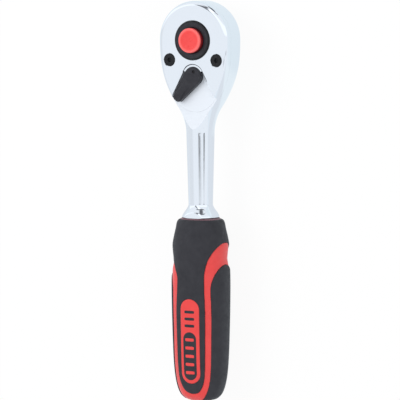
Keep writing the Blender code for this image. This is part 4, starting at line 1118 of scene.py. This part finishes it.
def button_finish():
    """Glossy red, with a painted highlight on its rolled rim and painted shade down its side."""
    look = Finish("red_button", (0.8, 0.05, 0.047), 0.3)
    look.shade((0.77, 0.045, 0.042), (0.83, 0.055, 0.052), 500, 3)
    # painted highlight: the base colour turns paler on the rolled rim
    look.blend((0.95, 0.14, 0.13), look.measure((1, 1, 0)), 3.3, 4.0)
    # painted shade: the base colour darkens down the button's side, under the ring's wall
    look.blend((0.2, 0.01, 0.014), look.measure((0, 0, 1)), 22.42, 21.65)
    look.roughen(0.26, 0.36, 1800, 3)
    look.bump(0.04, 0.02, 4000, 2)
    return look.material


def core_finish():
    """Satin red, with painted shade in the groove where the neck enters the grip."""
    look = Finish("red_core", (0.75, 0.05, 0.047), 0.38)
    look.shade((0.72, 0.046, 0.043), (0.78, 0.055, 0.052), 260, 4)
    # painted shade: the base colour darkens in the groove under the chrome flare
    look.blend((0.19, 0.1, 0.12), look.measure((1, 0, 0)), GRIP_X + 1.6, GRIP_X + 1.1)
    look.roughen(0.33, 0.45, 1500, 3)
    look.bump(0.06, 0.02, 5000, 2)
    return look.material


def soft_finish():
    """Soft elastomer: matt with a fine leather-like grain and cloudy handling marks."""
    look = Finish("soft_black", (0.02, 0.02, 0.025), 0.6, specular=0.4)
    look.shade((0.018, 0.018, 0.023), (0.025, 0.025, 0.031), 220, 5)
    look.roughen(0.52, 0.68, 600, 4)
    look.bump(0.25, 0.04, 5200, 3)
    return look.material


def oxide_finish():
    """Blackened steel of the screws, slightly uneven."""
    look = Finish("black_oxide", (0.016, 0.016, 0.018), 0.4, 0.5, 0.3)
    look.roughen(0.32, 0.5, 2200, 4)
    look.shade((0.014, 0.014, 0.016), (0.024, 0.024, 0.026), 1200, 3)
    return look.material


def steel_finish():
    """Hardened steel of the inner pieces, with upright grinding lines."""
    look = Finish("hardened_steel", (0.46, 0.47, 0.49), 0.28, 1.0)
    look.roughen(0.22, 0.38, 2600, 4, (1, 1, 0.1))
    look.shade((0.42, 0.43, 0.45), (0.5, 0.51, 0.53), 300, 3)
    return look.material


def seal_finish():
    """Matt black rubber of the lever's seal."""
    look = Finish("nitrile_seal", (0.014, 0.014, 0.015), 0.6)
    look.roughen(0.5, 0.7, 2000, 3)
    return look.material


# Stage


def floor_tone(graph):
    """Tone of the floor in reflections: even over each stretch, with straight steps between them."""
    tones = [(place, (*tone, 1.0)) for stretch, tone in FLOOR_TONES for place in stretch]
    first, last = tones[0][0], tones[-1][0]
    along = graph.add("SeparateXYZ", {0: graph.add("TexCoord", {}).outputs["Object"]}).outputs["X"]
    share = graph.add("MapRange", {"From Min": first * MM, "From Max": last * MM, "Value": along})
    ramp = graph.add("ValToRGB", {"Fac": share.outputs["Result"]})
    stops = ramp.color_ramp.elements
    for place, tone in tones[1:-1]:
        stops.new((place - first) / (last - first)).color = tone
    stops[0].color = tones[0][1]
    stops[len(stops) - 1].color = tones[-1][1]
    return ramp.outputs["Color"]


def floor():
    """Pale floor: white to the camera, toned in reflections, with the object's soft shadow kept in it."""
    corners = np.array([(-1, -1, 0), (1, -1, 0), (1, 1, 0), (-1, 1, 0)]) * FLOOR_HALF + (0, 0, FLOOR_HEIGHT)
    mesh = bpy.data.meshes.new("studio_floor")
    mesh.from_pydata((corners * MM).tolist(), [], [(0, 1, 2, 3)])
    material = bpy.data.materials.new("pale_floor")
    mesh.materials.append(material)
    graph = Graph(material)
    graph.nodes.clear()
    path = graph.add("LightPath", {}).outputs
    glossy = path["Is Glossy Ray"]
    tone = graph.add("MixRGB", {"Fac": glossy, "Color1": WHITE, "Color2": floor_tone(graph)})
    glow = graph.add("Emission", {"Color": tone.outputs[0]})
    paint = graph.add("BsdfDiffuse", {"Color": FLOOR_PAINT})
    share = graph.maths("MULTIPLY", graph.maths("MAXIMUM", path["Is Camera Ray"], glossy), FLOOR_GLOW)
    mix = graph.add("MixShader", {0: share, 1: paint.outputs[0], 2: glow.outputs[0]})
    graph.add("OutputMaterial", {"Surface": mix.outputs[0]})
    item = linked("studio_floor", mesh)


class Surround(Graph):
    """World drawn in directions: along the tool, across it, and the angle across from straight up."""

    def __init__(self, name):
        surround = bpy.data.worlds.new(name)
        bpy.context.scene.world = surround
        super().__init__(surround)
        self.nodes.clear()
        direction = self.add("SeparateXYZ", {0: self.add("TexCoord", {}).outputs["Generated"]})
        self.along, self.across, up = direction.outputs
        self.lean = self.maths("ARCTAN2", self.across, up)

    def line(self, slope, start):
        """Straight line over the direction along the tool: start plus slope times it."""
        return self.maths("ADD", self.maths("MULTIPLY", self.along, slope), start)

    def patch(self, first, second):
        """Product of two bands, each given as its value, middle, half width and soft margin."""
        return self.maths("MULTIPLY", self.band(*first), self.band(*second))

    def gaps(self):
        """Two dark gaps beside the camera, which the neck shows as fading streaks."""
        left = (self.lean, self.line(6.0, -0.4), self.line(5.0, -0.54), math.radians(7.0))
        left = self.patch(left, (self.along, 0.116, 0.011, 0.018))
        right = (self.lean, math.radians(58.5), math.radians(3.5), math.radians(5.0))
        right = self.patch(right, (self.along, 0.118, 0.009, 0.009))
        return self.maths("MAXIMUM", left, right)

    def wedge(self):
        """Dark triangle beyond the head: how far a direction is inside the nearest of three lines."""
        near_edge = self.maths("SUBTRACT", self.line(-0.469, -0.407), self.across)
        far_edge = self.maths("ADD", self.across, self.line(0.985, 0.9))
        low_edge = self.maths("ADD", self.across, self.line(-0.133, 0.402))
        inside = self.maths("MINIMUM", near_edge, self.maths("MINIMUM", far_edge, low_edge))
        return self.clamped(self.maths("DIVIDE", inside, 0.03))

    def post(self):
        """Dark post beyond the head with two arms, bowed as a parabola."""
        off_post = self.maths("SUBTRACT", self.across, self.line(0.7, 0.85))
        post = self.patch((off_post, 0.0, 0.1, 0.07), (self.along, -0.93, 0.09, 0.03))
        square = self.maths("POWER", self.maths("SUBTRACT", self.across, 0.2), 2.0)
        off_bow = self.maths("SUBTRACT", self.along, self.maths("MULTIPLY", square, 0.3))
        arms = self.patch((off_bow, -0.873, 0.01, 0.02), (self.across, 0.13, 0.32, 0.06))
        return self.maths("MAXIMUM", post, arms)

    def darkness(self):
        """Share of dark in a direction: gaps, wedge and post, and a faint shade low on the left."""
        shade = self.patch((self.lean, -1.3, 0.5, 0.25), (self.along, 0.3, 0.5, 0.15))
        marks = self.maths("MULTIPLY", self.maths("MAXIMUM", self.wedge(), self.post()), 0.9)
        dark = self.maths("ADD", self.maths("MULTIPLY", self.gaps(), 0.95), marks)
        return self.maths("MINIMUM", 1.0, self.maths("ADD", dark, self.maths("MULTIPLY", shade, 0.12)))

    def lamp(self):
        """Brighter lamp between wedge and post, tapering along a line, and a weaker strip above the head."""
        off_line = self.maths("ABSOLUTE", self.maths("SUBTRACT", self.across, self.line(-0.767, -0.477)))
        inside = self.maths("SUBTRACT", self.line(-0.244, -0.053), off_line)
        lamp = self.clamped(self.maths("DIVIDE", inside, 0.04))
        lamp = self.maths("MULTIPLY", lamp, self.band(self.along, -0.63, 0.25, 0.05))
        strip = self.maths("MULTIPLY", self.band(self.along, -0.33, 0.17, 0.06), 0.5)
        return self.maths("MAXIMUM", lamp, strip)


def world():
    """White surround, with its dark marks and its lamp in reflections alone."""
    studio = Surround("studio")
    path = studio.add("LightPath", {}).outputs
    glossy = path["Is Glossy Ray"]
    tone = studio.add("MixRGB", {"Fac": studio.darkness(), "Color1": MIRRORED_WHITE, "Color2": MIRRORED_DARK})
    shine = studio.add("MixRGB", {"Fac": glossy, "Color1": WHITE, "Color2": tone.outputs[0]})
    lamp = studio.maths("MULTIPLY", studio.maths("MULTIPLY", studio.lamp(), LAMP_GAIN), glossy)
    seen = studio.add("Background", {"Color": shine.outputs[0], "Strength": studio.maths("ADD", lamp, 1.0)})
    ambient = studio.add("Background", {"Color": AMBIENT_TONE, "Strength": AMBIENT_LEVEL})
    direct = studio.maths("MAXIMUM", path["Is Camera Ray"], glossy)
    direct = studio.maths("MAXIMUM", direct, path["Is Transmission Ray"])
    mix = studio.add("MixShader", {0: direct, 1: ambient.outputs[0], 2: seen.outputs[0]})
    studio.add("OutputWorld", {"Surface": mix.outputs[0]})


def softbox(name, place, power):
    """Square lamp at a place, turned to the tool, that no reflection shows."""
    lamp = bpy.data.lights.new(name, "AREA")
    lamp.shape = "RECTANGLE"
    lamp.size = lamp.size_y = SOFTBOX_SIZE * MM
    lamp.energy = power
    item = linked(name, lamp)
    item.visible_glossy = False
    item.location = Vector(place) * MM
    item.rotation_euler = (Vector(SOFTBOX_AIM) - Vector(place)).to_track_quat("-Z", "Y").to_euler()


def camera():
    """Long lens above the tool, leaning to its right side, with the head at the top of the picture."""
    away = Vector((-math.sin(CAMERA_TIP), math.cos(CAMERA_TIP) * math.sin(CAMERA_LEAN),
                   math.cos(CAMERA_TIP) * math.cos(CAMERA_LEAN)))
    level_up = Vector((-1, 0, 0))
    level_up = (level_up - level_up.dot(away) * away).normalized()
    level_right = (-away).cross(level_up)
    right = math.cos(CAMERA_ROLL) * level_right + math.sin(CAMERA_ROLL) * level_up
    up = math.cos(CAMERA_ROLL) * level_up - math.sin(CAMERA_ROLL) * level_right
    data = bpy.data.cameras.new("camera")
    data.sensor_fit = "HORIZONTAL"
    data.angle = 2 * math.atan(HALF_PICTURE / FOCAL)
    data.clip_end = CAMERA_REACH * MM
    item = linked("camera", data)
    place = Vector(CAMERA_AIM) + CAMERA_DISTANCE * (away - right * (SIDE_SHIFT / FOCAL))
    turn = Matrix((right, up, away)).transposed()
    item.matrix_world = Matrix.Translation(place * MM) @ turn.to_4x4()
    bpy.context.scene.camera = item


def dress_nodes(finishes):
    """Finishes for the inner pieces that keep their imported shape."""
    for name, node in frame["nodes"].items():
        finish = finishes.get(name, finishes["steel"])
        node.data.materials.clear()
        node.data.materials.append(finish)


def build():
    """Finish every piece, then set the floor, the surround, the lamps and the camera."""
    chrome = chrome_finish()
    plastic = black_plastic_finish("black_plastic").material
    core = core_finish()
    soft = soft_finish()
    oxide = oxide_finish()
    steel = steel_finish()
    dress_nodes({"steel": steel, "lever_oring": seal_finish(), "lever_pin": oxide})
    satin = satin_finish()
    ratchet_body(chrome, satin)
    cover_plate(chrome, satin)
    recess_step(chrome)
    cover_screw("screw_left", LEFT, oxide)
    cover_screw("screw_right", RIGHT, oxide)
    release_ring(ring_finish())
    release_button(button_finish())
    release_coil(steel)
    reversing_lever(plastic)
    detent_ball(steel)
    grip_core(core)
    grip_overmould(soft)
    for name, side in SIDES.items():
        grip_side(name, side, soft)
    grip_badge(core, soft)
    floor()
    world()
    for name, (place, power) in SOFTBOXES.items():
        softbox(name, place, power)
    camera()
    bpy.context.scene.view_settings.view_transform = "Standard"


build()
